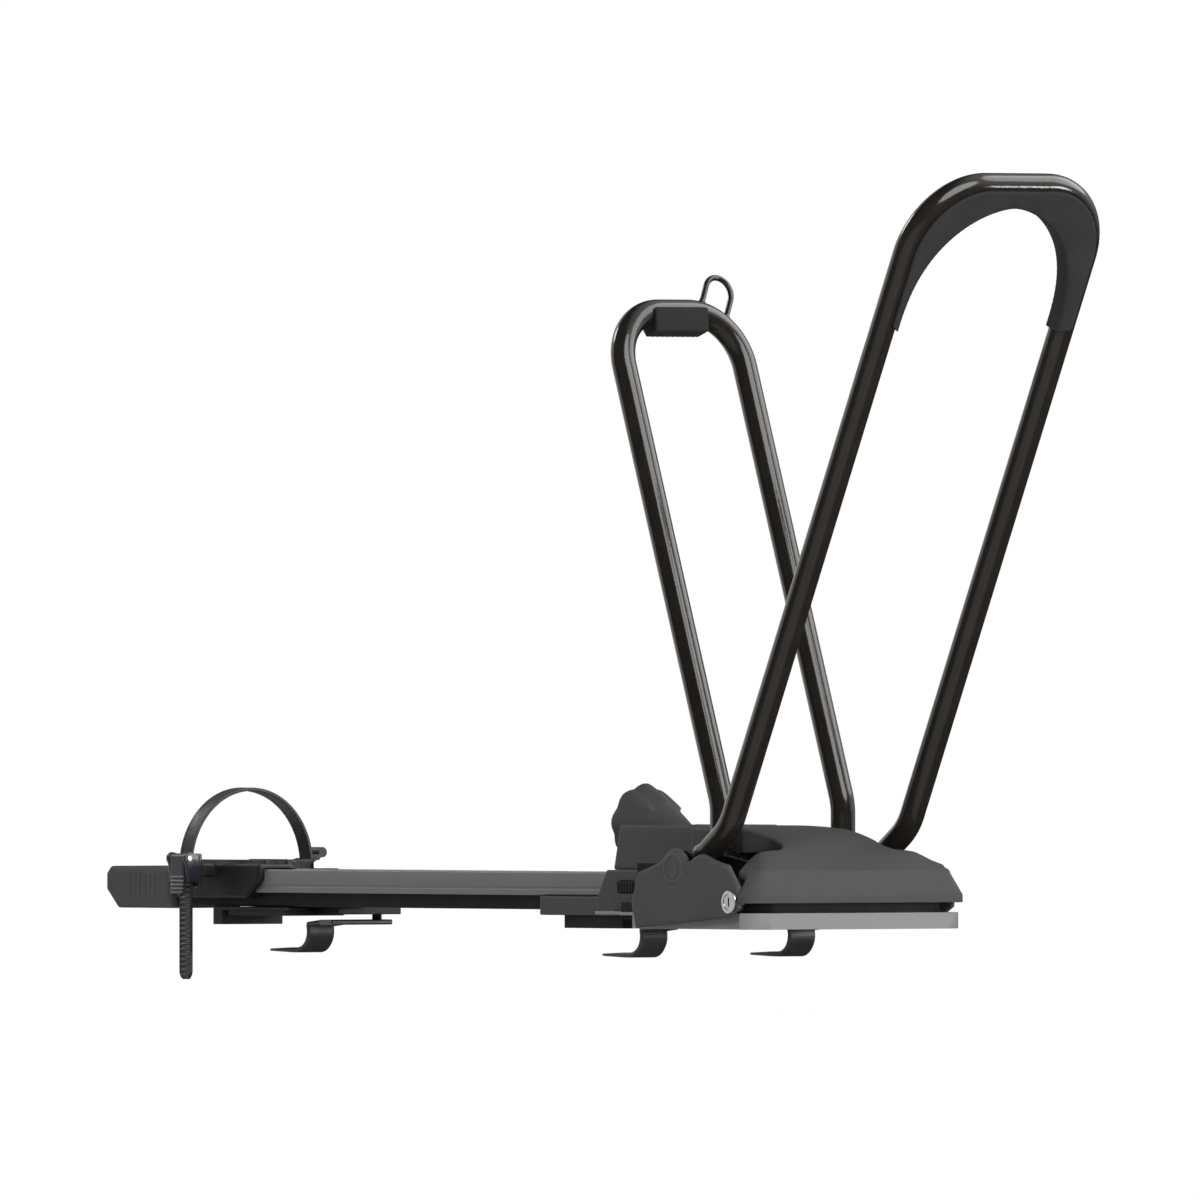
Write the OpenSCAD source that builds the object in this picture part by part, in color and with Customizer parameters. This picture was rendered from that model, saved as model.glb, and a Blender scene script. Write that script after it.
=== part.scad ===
// Upright wheel-on bike carrier for a pair of roof crossbars.
// Millimetres. Origin: middle of the front pad's underside. +X forwards, +Y left, +Z up.

/* [Crossbars] */
// Chord of the wing-shaped crossbar, along the carrier
bar_chord = 80; // [72:1:86]
// Height of the crossbar
bar_h = 24; // [20:1:28]
// Distance between the crossbar centres
bar_spread = 500; // [490:1:510]

/* [Base] */
// Thickness of the rubber pads
pad_t = 4; // [3:0.5:6]
// Length of the rubber pads along the carrier
pad_len = 70; // [50:1:72]
// Width of the front pad
pad_w = 80; // [60:1:100]
// Thickness of the base plate
plate_t = 2.5; // [2:0.5:4]
// Depth of the base plate's turned-down rim below the crossbar's top
rim_drop = 6; // [4:0.5:8]
// Thickness of the chassis floor
floor_t = 7.5; // [6:0.5:9]
// Hoop axle's distance ahead of the front crossbar
axle_x = 109; // [106:1:114]
// Hoop axle's height above the base plate
axle_rise = 33.5; // [32:0.5:36]
// Distance from the hoop axle to the nose
nose_len = 97; // [92:1:104]
// Height of the dome's crest above the base plate
crest_rise = 66.5; // [65:0.5:72]
// Height of the nose's front face above the chassis floor
front_face_h = 24; // [20:1:28]
// Radius of the nose's corners in plan
nose_corner_r = 18; // [14:1:19]
// Lean of the nose's front face
front_face_lean = 6; // [3:0.5:8]
// Lean of the nose's side faces
side_face_lean = 11; // [8:0.5:12]
// Wall of the moulded covers
skin = 3; // [2.5:0.25:4]
// Thickness of the side covers
side_cover_t = 4.5; // [4:0.25:6]

/* [Hoops] */
// Outer diameter of the hoop tube
tube_d = 19; // [18:0.5:20]
// Wall of the hoop tube
tube_wall = 1.5; // [1.2:0.1:2]
// Bend radius at the knees
knee_r = 45; // [35:1:55]
// Front hoop, knee to crown
front_reach = 542; // [500:1:560]
// Front hoop, axle to knee
front_stub = 54; // [50:1:56]
// Front hoop's lean ahead of upright
front_lean = 25.7; // [22:0.1:30]
// Bend of the front hoop's knee
front_knee = 29.2; // [26:0.1:32]
// Bend radius of the front hoop's shoulders
front_corner_r = 58; // [48:1:62]
// Narrowing of the front hoop towards its shoulders, each side
front_taper = 0; // [0:0.5:8]
// Rear hoop, knee to crown
rear_reach = 400; // [380:1:410]
// Rear hoop, axle to knee
rear_stub = 49; // [46:1:54]
// Rear hoop's lean behind upright
rear_lean = 19.5; // [16:0.1:22]
// Bend of the rear hoop's knee
rear_knee = 19.5; // [17:0.1:22]
// Bend radius of the rear hoop's shoulders
rear_corner_r = 45; // [36:1:50]
// Half width of the rear hoop
rear_hw = 59.5; // [58:0.5:62]
// Length of the rubber arch down each leg of the front hoop
arch_len = 120; // [100:1:130]
// Thickness of the rubber arch at the crown, below the tube's centre
arch_crown = 20; // [16:1:26]
// Depth of the rubber arch and pad, through the hoop
rubber_w = 25; // [23:1:28]
// Width of the rear hoop's pad
rear_pad_w = 62; // [50:1:72]
// Depth of the rear hoop's pad below the tube's centre
rear_pad_drop = 21; // [17:1:26]
// Height of the lock loop above the rear hoop's tube
loop_h = 28; // [24:1:30]
// Distance between the lock loop's legs
loop_w = 24; // [20:1:26]
// Lean of the lock loop, outwards from upright
loop_lean = 30; // [20:1:40]
// Wire of the lock loop
loop_wire = 4.5; // [4:0.25:5]

/* [Pivots and screw] */
// Diameter of the hoop pivot pins
pin_d = 12; // [11:0.5:12.5]
// Outer radius of the hoop eyes
eye_r = 14; // [13:0.25:15]
// Width of the rear hoop's eyes
rear_eye_w = 18; // [16:0.5:18]
// Width of the front hoop's eyes
front_eye_w = 20; // [18:0.5:22]
// Thickness of the carriage arms
arm_t = 4.8; // [4:0.2:6]
// Tilt of the draw screw
draw_tilt = 10; // [9:0.5:11]
// Height of the draw screw's axis over the hoop axle
screw_off = 5; // [4:0.5:6]
// Diameter of the draw screw
screw_d = 10; // [9:0.5:10]
// Distance from the hoop axle back to the knob's rear face
knob_back = 178; // [174:1:182]
// Length of the knob's grip
grip_len = 21; // [18:1:24]
// Outer radius over the knob's lobes
knob_r = 29; // [26:0.5:31]
// Number of lobes on the knob
knob_lobes = 8; // [6:1:10]

/* [Tray] */
// Half width of the tray
tray_hw = 35; // [34:0.5:36]
// Half width of the tray's lower box
tray_low_hw = 28; // [26:0.5:29]
// Height of the tray's lower box
tray_low_h = 11; // [10:0.5:12]
// Height of the tray's upper channel
tray_up_h = 18; // [16:0.5:18]
// Wall of the tray
tray_wall = 3; // [2.5:0.25:3.5]
// Half width of the slot under the tray
slot_hw = 6; // [5:0.5:8]
// Distance from the front crossbar back to the tray's tail
tail_back = 681; // [670:1:700]
// Length of the tail's end cap
cap_len = 81; // [70:1:85]
// Distance from the tail to the wheel strap
strap_in = 131; // [128:1:131]
// Length of the wheel cradle
cradle_len = 104; // [85:1:105]
// Width of the wheel strap
strap_w = 14; // [12:0.5:15]
// Thickness of the wheel strap
strap_t = 3; // [2.5:0.25:3.5]
// Radius of the strap's arch at its middle
strap_r = 60; // [57:0.5:62]
// Length of the strap's free tail below the buckle's pivot height
strap_tail = 88; // [60:1:95]

/* [Claws] */
// Width of the claw bands
claw_w = 26; // [22:1:30]
// Thickness of the claw bands
claw_t = 4; // [3:0.5:5]
// Sideways place of the front claws
claw_y = 73; // [70:1:76]
// Diameter of the claw studs
stud_d = 8; // [7:0.5:10]
// Outer radius of the thumb nuts
nut_r = 13; // [11:0.5:14]
// Height of the thumb nuts
nut_h = 16; // [12:1:17]

/* [Hidden] */
$fn = 48;

// Clearances
run_gap = 0.05;      // radial, pin in bush and screw in nut
fit_gap = 0.02;      // radial, pressed and clamped pieces
side_gap = 0.3;      // between faces that pass each other
slide_gap = 0.5;     // between the tray and what guides it
stud_gap = 0.4;      // radial, stud in its guide hole

// Colours
black = "#1b1a1a";
charcoal = "#434345";
graphite = "#2c2a29";
steel = "#9a989a";
rubber = "#333235";

// Heights
base_z = pad_t + plate_t;
floor_z = base_z + floor_t;
axle_z = base_z + axle_rise;
crest_z = base_z + crest_rise;
tray_z = base_z + slide_gap;
tray_ledge_z = tray_z + tray_low_h;
tray_top = tray_ledge_z + tray_up_h;
sleeve_top = tray_top + 2;

// Pivot stack, from the tray outwards
clip_t = 1.4;
pin_r = pin_d / 2;
bush_r = pin_r + 2;
cheek_y0 = tray_hw + 3;
rear_eye_in = rear_hw - rear_eye_w / 2;
rear_eye_out = rear_hw + rear_eye_w / 2;
cheek_y1 = rear_eye_in - 4.7;
valance_y0 = cheek_y1 + side_gap;
channel_y0 = valance_y0 + 2.5;
rear_pin_end = rear_eye_out + side_gap + clip_t + side_gap;
arm_y0 = rear_pin_end + 0.7;
arm_y1 = arm_y0 + arm_t;
front_eye_in = arm_y1 + 2;
front_foot_hw = front_eye_in + front_eye_w / 2;
front_eye_out = front_eye_in + front_eye_w;
front_pin_end = front_eye_out + side_gap + clip_t + side_gap;
wall_y0 = front_pin_end + 0.4;
wall_y1 = wall_y0 + skin;
cover_y1 = wall_y1 + side_cover_t;

// Base lengths and widths
plate_hw = wall_y1 - 6.4;
dome_hw = cover_y1;
nose_plate_hw = dome_hw - 2;
floor_hw = plate_hw - 2;
nose_x = axle_x + nose_len;
plate_x1 = nose_x - 3;
floor_x1 = nose_x - 12;
claw_x = bar_chord / 2 + 10;
floor_x0 = claw_x - nut_r - 7;
plate_x0 = -bar_chord / 2 - 5;
rim_x0 = bar_chord / 2 + 6;
dome_x0 = axle_x - 52;
channel_x1 = axle_x + 65;
cover_x1 = axle_x + 77;
wall_x0 = axle_x - 49;
wall_x1 = axle_x + 59;
cheek_x0 = axle_x - 39;
cheek_x1 = axle_x + eye_r;
lock_x = axle_x + 68;
lock_z = base_z + 8.5;
lock_r = 5.6;
lock_body_r = 7.5;

// Tower and sleeve
tower_hw = tray_hw + 4;
tower_wall = 4;
tower_x0 = axle_x - 151;
bulkhead_x0 = axle_x - 105;
bulkhead_t = 10;
sleeve_x0 = axle_x - 249;
sleeve_cheek_x0 = axle_x - 177;
sleeve_hw = tray_hw + 5;
lip_hw = tray_hw + 3;
lip_top = tray_ledge_z - slide_gap;
sleeve_z0 = base_z - 3.5;
button_x = axle_x - 141;
button_z = base_z + 18.5;
button_r = 4.5;
button_span = 14;
button_out = 1.5;
button_t = 3.5;

// Tray lengths
tail_x = -tail_back;
tray_x0 = tail_x + 21;
tray_x1 = axle_x + 11;
strap_x = tail_x + strap_in;
cradle_x0 = strap_x - 37;
cradle_hw = tray_hw + 6;
cradle_z = tray_top + 4.4;
strap_z = tray_top + 2;
buckle_y = strap_r + strap_t / 2 + 4.5;
buckle_z = strap_z + 6.5;
buckle_pin_r = 2;
lever_t = 3;
lever_hub_r = 3.6;
lever_drop = 27.5;
anchor_r = 3;
strap_slack = 1.5;
cheek_plate = 3.5;
strap_bay = strap_w / 2 + strap_slack;

// Draw screw
screw_r = screw_d / 2;
draw_travel = 24;
screw_front = 64;
bush_x0 = -107;
bush_len = 13;
grip_front = -knob_back + grip_len;
cone_front = bush_x0 - 5;
nut_body_r = screw_r + 3;
beam_x0 = 42;
beam_x1 = 54;

// Claws
nose_r = bar_h / 2;
nose_cx = bar_chord / 2 - nose_r;
claw_gap = 0.5;
claw_in_r = nose_r + claw_gap;
claw_out_r = claw_in_r + claw_t;
tab_top = -3;
stud_r = stud_d / 2;
foot_x = -bar_spread;
ear_y = tray_hw + 15;

// A hoop is [reach, stub, knee, foot half width, top half width, corner radius, lean]
REACH = 0;
STUB = 1;
KNEE = 2;
FOOT = 3;
TOP = 4;
CORNER = 5;
LEAN = 6;
front_hoop = [front_reach, front_stub, front_knee, front_foot_hw, front_foot_hw - front_taper,
    front_corner_r, front_lean];
rear_hoop = [rear_reach, rear_stub, rear_knee, rear_hw, rear_hw, rear_corner_r, -rear_lean];
tube_r = tube_d / 2;
bend_swell = 0.05;
seam = 0.2;
spigot_r = tube_r - tube_wall - fit_gap;

function hoop_splay(h) = asin((h[FOOT] - h[TOP]) / (h[REACH] - h[CORNER] + h[STUB] * cos(h[KNEE])));
function knee_tangent(h) = knee_r * tan(h[KNEE] / 2);
function corner_rise(h) = h[CORNER] * (1 - sin(hoop_splay(h)));
function leg_len(h) = h[REACH] - knee_tangent(h) - corner_rise(h);
function eye_drop(h) = leg_len(h) + knee_tangent(h) + h[STUB] * cos(h[KNEE]);
function hoop_top(h) = eye_drop(h) * cos(hoop_splay(h)) + corner_rise(h);
function crown_hw(h) = h[TOP] - h[CORNER] * cos(hoop_splay(h));

// A point of the draw screw's tilted frame, as X and Z
function draw_xz(x, z) = [axle_x + x * cos(draw_tilt) + z * sin(draw_tilt),
    axle_z - x * sin(draw_tilt) + z * cos(draw_tilt)];

// General shapes
module both() {
    children();
    mirror([0, 1, 0]) children();
}

module cyl_y(r, y0, y1) translate([0, y0, 0]) rotate([-90, 0, 0]) cylinder(r = r, h = y1 - y0);

module cyl_x(r, x0, x1) translate([x0, 0, 0]) rotate([0, 90, 0]) cylinder(r = r, h = x1 - x0);

module ring_y(r_out, r_in, y0, y1) difference() {
    cyl_y(r_out, y0, y1);
    cyl_y(r_in, y0 - 1, y1 + 1);
}

module ring_x(r_out, r_in, x0, x1) difference() {
    cyl_x(r_out, x0, x1);
    cyl_x(r_in, x0 - 1, x1 + 1);
}

module box(x0, x1, y0, y1, z0, z1) translate([x0, y0, z0]) cube([x1 - x0, y1 - y0, z1 - z0]);

module plane_xz(y0, y1) translate([0, y1, 0]) rotate([90, 0, 0]) linear_extrude(y1 - y0) children();

module plane_yz(x0, x1) translate([x0, 0, 0]) rotate([90, 0, 90]) linear_extrude(x1 - x0) children();

module rect(x0, x1, y0, y1) translate([x0, y0]) square([x1 - x0, y1 - y0]);

// Plan outline with two rounded front corners
module nose_plan(x0, x1, hw, r) {
    rect(x0, x1 - r, -hw, hw);
    rect(x0, x1, -hw + r, hw - r);
    for (s = [-1, 1]) translate([x1 - r, s * (hw - r)]) circle(r);
}

module at_axle() translate([axle_x, 0, axle_z]) children();

module on_draw() at_axle() rotate([0, draw_tilt, 0]) children();

module on_screw() on_draw() translate([0, 0, screw_off]) children();

// Base
module base_bolt_places() for (p = [[axle_x - 39, 86], [axle_x + 71, 70]]) both() translate([p[0], p[1], 0])
    children();

module claw_stud_places() both() translate([claw_x, claw_y, 0]) children();

// Front of the base plate, ahead of the side covers, drawn in by a wall
module wide_plan(in) intersection() {
    nose_plan(floor_x0, plate_x1 - in, nose_plate_hw - in, nose_corner_r - in);
    rect(cover_x1 + side_gap + in, nose_x, -dome_hw, dome_hw);
}

module base_plate() color(steel) difference() {
    union() {
        translate([0, 0, pad_t]) linear_extrude(plate_t) {
            rect(plate_x0, floor_x0 + 1, -pad_w / 2 - 20, pad_w / 2 + 20);
            nose_plan(floor_x0, plate_x1, plate_hw, nose_corner_r);
            wide_plan(0);
        }
        translate([0, 0, -rim_drop]) linear_extrude(pad_t + rim_drop) difference() {
            union() {
                nose_plan(rim_x0, plate_x1, plate_hw, nose_corner_r);
                wide_plan(0);
            }
            nose_plan(rim_x0 - 1, plate_x1 - skin, plate_hw - skin, nose_corner_r - skin);
            wide_plan(skin);
        }
    }
    claw_stud_places() translate([0, 0, -rim_drop]) cylinder(r = stud_r + stud_gap, h = 60);
    base_bolt_places() cylinder(r = 2.55, h = 60);
}

module ramp_outline() polygon([draw_xz(-40, -14 - side_gap), draw_xz(56, -14 - side_gap),
    [draw_xz(56, -14 - side_gap)[0], base_z], [draw_xz(-40, -14 - side_gap)[0], base_z]]);

module chassis_frame() color(graphite) difference() {
    union() {
        translate([0, 0, base_z]) linear_extrude(floor_t) {
            nose_plan(floor_x0, floor_x1, floor_hw, nose_corner_r);
            rect(wall_x0, wall_x1, -wall_y1, wall_y1);
        }
        both() {
            box(wall_x0, wall_x1, wall_y0, wall_y1, base_z, axle_z + 4);
            box(cheek_x0, cheek_x1, cheek_y0, cheek_y1, base_z, axle_z + 18);
            plane_xz(arm_y0, arm_y1) ramp_outline();
        }
    }
    box(floor_x0 - 1, tray_x1 + 5, -cheek_y0, cheek_y0, 0, crest_z);
    box(floor_x0 - 1, dome_x0 + side_gap, -sleeve_hw - side_gap, sleeve_hw + side_gap, 0, crest_z);
    at_axle() both() cyl_y(pin_r + fit_gap, cheek_y0 - 1, cheek_y1 + 1);
    claw_stud_places() cylinder(r = stud_r + stud_gap, h = 60);
    base_bolt_places() cylinder(r = 2.55, h = base_z + 5);
    cover_screw_places() cyl_y(2.55, wall_y0 - 1, wall_y1 + 1);
}

// Solid of the dome, drawn in by a wall
module dome_form(in) hull($fn = 28) {
    face_r = 12;
    for (s = [-1, 1]) {
        translate([nose_x - nose_corner_r, s * (dome_hw - nose_corner_r), floor_z - in])
            cylinder(r = nose_corner_r - in, h = 6);
        translate([nose_x - front_face_lean - face_r, s * (dome_hw - side_face_lean - face_r),
            floor_z + front_face_h - 1 - in]) cylinder(r = face_r - in, h = 1);
        translate([dome_x0 + 13, s * 26, crest_z - 29]) sphere(28 - in);
        translate([dome_x0 + 30, s * 8, crest_z - 30]) sphere(30 - in);
        translate([axle_x + 14, s * 12, crest_z - 31]) sphere(30 - in);
        translate([axle_x + 40, s * 52, crest_z - 33]) sphere(22 - in);
        translate([axle_x + 58, s * 40, crest_z - 33]) sphere(22 - in);
        translate([dome_x0 + 8, s * 30, floor_z - in]) cylinder(r = 8, h = 10);
    }
}

module channel_plan() {
    round_r = 10;
    rect(dome_x0 - 1, channel_x1 - round_r, channel_y0, cover_y1);
    rect(dome_x0 - 1, channel_x1, channel_y0 + round_r, cover_y1);
    translate([channel_x1 - round_r, channel_y0 + round_r]) circle(round_r);
}

module dome_cover() color(charcoal) difference() {
    union() {
        difference() {
            dome_form(0);
            dome_form(skin);
        }
        intersection() {
            dome_form(0);
            both() {
                box(dome_x0, channel_x1 + 2.5, valance_y0, channel_y0, axle_z + 12, crest_z);
                box(channel_x1, channel_x1 + 2.5, valance_y0, dome_hw, floor_z, crest_z);
            }
        }
    }
    both() translate([0, 0, floor_z - 1]) linear_extrude(crest_z) channel_plan();
    both() box(dome_x0, cover_x1 + side_gap, plate_hw + side_gap, dome_hw + 1, 0, crest_z);
    box(tower_x0, dome_x0, -dome_hw, dome_hw, 0, crest_z + 1);
    box(tower_x0, nose_x + 1, -dome_hw - 1, dome_hw + 1, -1, floor_z);
}

module tower_outline() polygon([[tower_x0 - 8, sleeve_top], [tower_x0, crest_z], [dome_x0, crest_z],
    [dome_x0, sleeve_top]]);

module tower_shroud() color(charcoal) difference() {
    plane_xz(-tower_hw, tower_hw) tower_outline();
    box(sleeve_x0, bulkhead_x0, -tower_hw + tower_wall, tower_hw - tower_wall,
        sleeve_top + 2.5, crest_z + 1);
    box(bulkhead_x0 + bulkhead_t, dome_x0 + 1, -tower_hw + tower_wall, tower_hw - tower_wall,
        sleeve_top + 2.5, crest_z - skin);
    on_screw() cyl_x(nut_body_r + 1 + fit_gap, bush_x0 - 20, bush_x0 + bush_len + 10);
}

module thrust_bush() color(steel) on_screw()
    ring_x(nut_body_r + 1, screw_r + run_gap, bush_x0, bush_x0 + bush_len);

// Side covers: a boss round the axle, a lower shoulder and a tapering skirt
module cover_outline() {
    translate([axle_x, axle_z]) circle(15);
    translate([axle_x + 32, axle_z - 4]) circle(14);
    polygon([[axle_x - 47, -rim_drop + 1], [axle_x + 64, 3.5], [cover_x1, base_z + 4],
        [cover_x1, axle_z - 14], [cover_x1 - 13, axle_z + 2.4], [axle_x + 38, axle_z + 8.6],
        [axle_x + 32, axle_z + 10], [axle_x + 14, axle_z + 4], [axle_x, axle_z + 14],
        [axle_x - 13, axle_z + 7.5], [axle_x - 52, axle_z - 26]]);
}

module cover_screw_places() both() for (p = [[axle_x - 36, axle_z - 16], [axle_x + 45, axle_z - 16]])
    translate([p[0], 0, p[1]]) children();

module side_cover() difference() {
    plane_xz(wall_y1, cover_y1) cover_outline();
    for (p = [[axle_x - 36, axle_z - 16], [axle_x + 45, axle_z - 16]]) translate([p[0], 0, p[1]])
        cyl_y(2.55, wall_y1 - 1, wall_y1 + 3);
}

module side_cover_left() color(charcoal) side_cover();

module side_cover_right() color(charcoal) difference() {
    mirror([0, 1, 0]) side_cover();
    translate([lock_x, 0, lock_z]) cyl_y(lock_body_r + fit_gap, -cover_y1 - 1, -wall_y1 + 1);
}

module side_cover_screws() color(steel) cover_screw_places() {
    cyl_y(4, wall_y0 - 1.4, wall_y0);
    cyl_y(2.5, wall_y0 - 0.1, wall_y1 + 2.5);
}

module base_bolts() color(steel) base_bolt_places() {
    translate([0, 0, pad_t - 3.5]) cylinder(r = 4.6, h = 3.5, $fn = 6);
    translate([0, 0, pad_t - 1]) cylinder(r = 2.5, h = plate_t + 5.5);
}

module lock_housing() color("silver") translate([lock_x, 0, lock_z]) {
    ring_y(lock_body_r, lock_r + run_gap, -cover_y1, -plate_hw - 1);
    ring_y(lock_body_r + 1.2, lock_r + run_gap, -cover_y1 - 1.4, -cover_y1);
}

module lock_core() color("gray") translate([lock_x, 0, lock_z]) difference() {
    cyl_y(lock_r, -cover_y1 - 1, -plate_hw - 2);
    box(-0.8, 0.8, -cover_y1 - 2, -cover_y1 + 3, -3.5, 3.5);
}

module front_pad() color(rubber) box(-pad_len / 2, pad_len / 2, -pad_w / 2, pad_w / 2, 0, pad_t);

module saddle_block() color(black)
    box(sleeve_x0 + 25, -bar_chord / 2 - 2, -lip_hw + 4, lip_hw - 4, -rim_drop - 1, sleeve_z0);

module sleeve_wall(x0, x1, z0, hw) both() box(x0, x1, tray_low_hw + slide_gap, hw, z0, lip_top);

module button_plan(r) {
    rect(-button_span / 2, button_span / 2, -r, r);
    for (s = [-1, 1]) translate([s * button_span / 2, 0]) circle(r);
}

module tray_sleeve() color(charcoal) difference() {
    union() {
        box(sleeve_x0, plate_x0, -lip_hw, lip_hw, sleeve_z0, base_z);
        sleeve_wall(sleeve_x0, sleeve_cheek_x0, sleeve_z0, lip_hw);
        sleeve_wall(sleeve_cheek_x0 - 0.1, plate_x0, sleeve_z0, sleeve_hw);
        sleeve_wall(plate_x0 - 0.1, dome_x0, base_z, sleeve_hw);
        both() plane_xz(tray_hw + slide_gap, sleeve_hw) polygon([[sleeve_cheek_x0, lip_top - 1],
            [sleeve_cheek_x0 + 12, sleeve_top], [dome_x0, sleeve_top], [dome_x0, lip_top - 1]]);
    }
    translate([button_x, 0, button_z]) plane_xz(-sleeve_hw - 1, -tray_hw) button_plan(button_r + side_gap);
}

module tray_button() color(black) translate([button_x, 0, button_z])
    plane_xz(-sleeve_hw - button_out, -sleeve_hw - button_out + button_t) button_plan(button_r);

// Clamp: knob, screw and carriage
module knob_plan() {
    lobe_r = 7;
    circle(knob_r - 3.5);
    for (i = [0:knob_lobes - 1]) rotate(i * 360 / knob_lobes) translate([knob_r - lobe_r, 0]) circle(lobe_r);
}

module torque_knob() color(charcoal) on_screw() difference() {
    union() {
        plane_yz(-knob_back, grip_front) knob_plan();
        translate([grip_front, 0, 0]) rotate([0, 90, 0])
            cylinder(r1 = knob_r - 6, r2 = nut_body_r + 3, h = cone_front - grip_front);
        cyl_x(nut_body_r, cone_front - 0.1, bush_x0 - side_gap);
    }
    cyl_x(screw_r + fit_gap, -knob_back - 1, 0);
    cyl_x(knob_r / 2 + fit_gap, -knob_back - 1, -knob_back + 3);
}

module knob_cap() color(black) on_screw() cyl_x(knob_r / 2, -knob_back - 1, -knob_back + 3);

module draw_screw() color(steel) on_screw() cyl_x(screw_r, -knob_back + 3, screw_front);

module screw_collar() color(steel) on_screw()
    ring_x(nut_body_r, screw_r + fit_gap, bush_x0 + bush_len + side_gap, bush_x0 + bush_len + side_gap + 5);

module carriage_yoke() color(graphite) on_draw() difference() {
    union() {
        both() {
            cyl_y(14, arm_y0, arm_y1);
            box(0, beam_x1, arm_y0, arm_y1, -14, 14);
        }
        box(beam_x0, beam_x1, -arm_y1, arm_y1, screw_off - 9, screw_off + 9);
        translate([0, 0, screw_off]) cyl_x(nut_body_r + 4, beam_x0 - 4, beam_x1 + 4);
    }
    both() cyl_y(pin_r + fit_gap, arm_y0 - 1, arm_y1 + 1);
    translate([0, 0, screw_off]) cyl_x(nut_body_r + fit_gap, 0, 80);
}

module draw_nut() color("#b08d3c") on_screw() ring_x(nut_body_r, screw_r + run_gap, beam_x0 - 4, beam_x1 + 4);

module hoop_pin(y0, y1) at_axle() both() cyl_y(pin_r, y0, y1);

module pin_clip(y0) at_axle() both() ring_y(pin_r + 3, pin_r + fit_gap, y0, y0 + clip_t);

module rear_hoop_pins() color(steel) hoop_pin(cheek_y0 + side_gap, rear_pin_end);

module rear_pin_clips() color(steel) pin_clip(rear_eye_out + side_gap);

module front_hoop_pins() color(steel) hoop_pin(arm_y0 + side_gap, front_pin_end);

module front_pin_clips() color(steel) pin_clip(front_eye_out + side_gap);

// Hoops
module hoop_frame(h) at_axle() rotate([0, h[LEAN], 0]) translate([h[STUB] * sin(h[KNEE]), 0, 0]) children();

module leg_frame(h) translate([0, h[TOP], hoop_top(h) - corner_rise(h)])
    rotate([hoop_splay(h), 0, 0]) children();

// Frame of the stub, with its origin on the axle and +Z towards the knee
module stub_frame(h) leg_frame(h) translate([-h[STUB] * sin(h[KNEE]), 0, -eye_drop(h)]) rotate([0, h[KNEE], 0])
    children();

// Bar along the hoop's centre line, starting a distance from the axle. The bends swell a little.
module hoop_bar(h, r, start) {
    splay = hoop_splay(h);
    bend = r + bend_swell;
    translate([0, 0, hoop_top(h)]) cyl_y(r, -crown_hw(h) - seam, crown_hw(h) + seam);
    both() {
        translate([0, crown_hw(h), hoop_top(h) - h[CORNER]]) rotate([90, 0, 90]) rotate([0, 0, splay])
            rotate_extrude(angle = 90 - splay) translate([h[CORNER], 0]) circle(bend);
        leg_frame(h) translate([0, 0, -leg_len(h) - seam]) cylinder(r = r, h = leg_len(h) + 2 * seam);
        leg_frame(h) translate([-knee_r, 0, -leg_len(h)]) rotate([90, 0, 0]) rotate([0, 0, -h[KNEE]])
            rotate_extrude(angle = h[KNEE]) translate([knee_r, 0]) circle(bend);
        stub_frame(h) translate([0, 0, start])
            cylinder(r = r, h = h[STUB] - knee_tangent(h) - start + seam);
    }
}

module hoop_tube(h) hoop_frame(h) difference() {
    hoop_bar(h, tube_r, eye_r + slide_gap);
    hoop_bar(h, tube_r - tube_wall, eye_r - 2);
}

module hoop_eyes(h, w) difference() {
    union() {
        at_axle() both() cyl_y(eye_r, h[FOOT] - w / 2, h[FOOT] + w / 2);
        hoop_frame(h) both() stub_frame(h) translate([0, 0, 11]) cylinder(r = spigot_r, h = 19);
    }
    at_axle() both() cyl_y(bush_r + fit_gap, h[FOOT] - w, h[FOOT] + w);
}

// Flanged bushes: the flange runs against the face at seat_y
module hoop_bushes(h, w, seat_y) at_axle() both() {
    ring_y(bush_r, pin_r + run_gap, h[FOOT] - w / 2 - 0.1, h[FOOT] + w / 2);
    ring_y(bush_r + 2.5, pin_r + run_gap, seat_y + side_gap, h[FOOT] - w / 2);
}

module front_hoop_tube() color(black) hoop_tube(front_hoop);

module front_hoop_eyes() color(black) hoop_eyes(front_hoop, front_eye_w);

module front_hoop_bushes() color("#d8d4c8") hoop_bushes(front_hoop, front_eye_w, arm_y1);

module rear_hoop_tube() color(black) hoop_tube(rear_hoop);

module rear_hoop_eyes() color(black) hoop_eyes(rear_hoop, rear_eye_w);

module rear_hoop_bushes() color("#d8d4c8") hoop_bushes(rear_hoop, rear_eye_w, cheek_y1);

// Half width of the arch's opening, from 0 at the crown to 1 at the ends of its legs
function arch_open(t) = (front_hoop[TOP] - tube_r - 1.5) * pow(1 - pow(1 - t, 3), 0.45);

module arch_plan() {
    h = front_hoop;
    top = hoop_top(h);
    steps = 24;
    depth = arch_len - arch_crown + 2;
    part = [for (i = [0:steps]) pow(i / steps, 2)];
    half = [for (t = part) [arch_open(t), top - arch_crown - depth * t]];
    difference() {
        union() {
            rect(-crown_hw(h), crown_hw(h), top - h[CORNER], top - 2);
            for (s = [-1, 1]) translate([s * crown_hw(h), top - h[CORNER]]) circle(h[CORNER] - 1);
            rect(-h[TOP] + 1.5, h[TOP] - 1.5, top - arch_len, top - h[CORNER]);
        }
        polygon(concat(half, [for (i = [steps:-1:1]) [-half[i][0], half[i][1]]]));
    }
}

module front_hoop_arch() color(rubber) hoop_frame(front_hoop) difference() {
    plane_yz(-rubber_w / 2, rubber_w / 2) arch_plan();
    hoop_bar(front_hoop, tube_r + fit_gap, 0);
}

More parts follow.
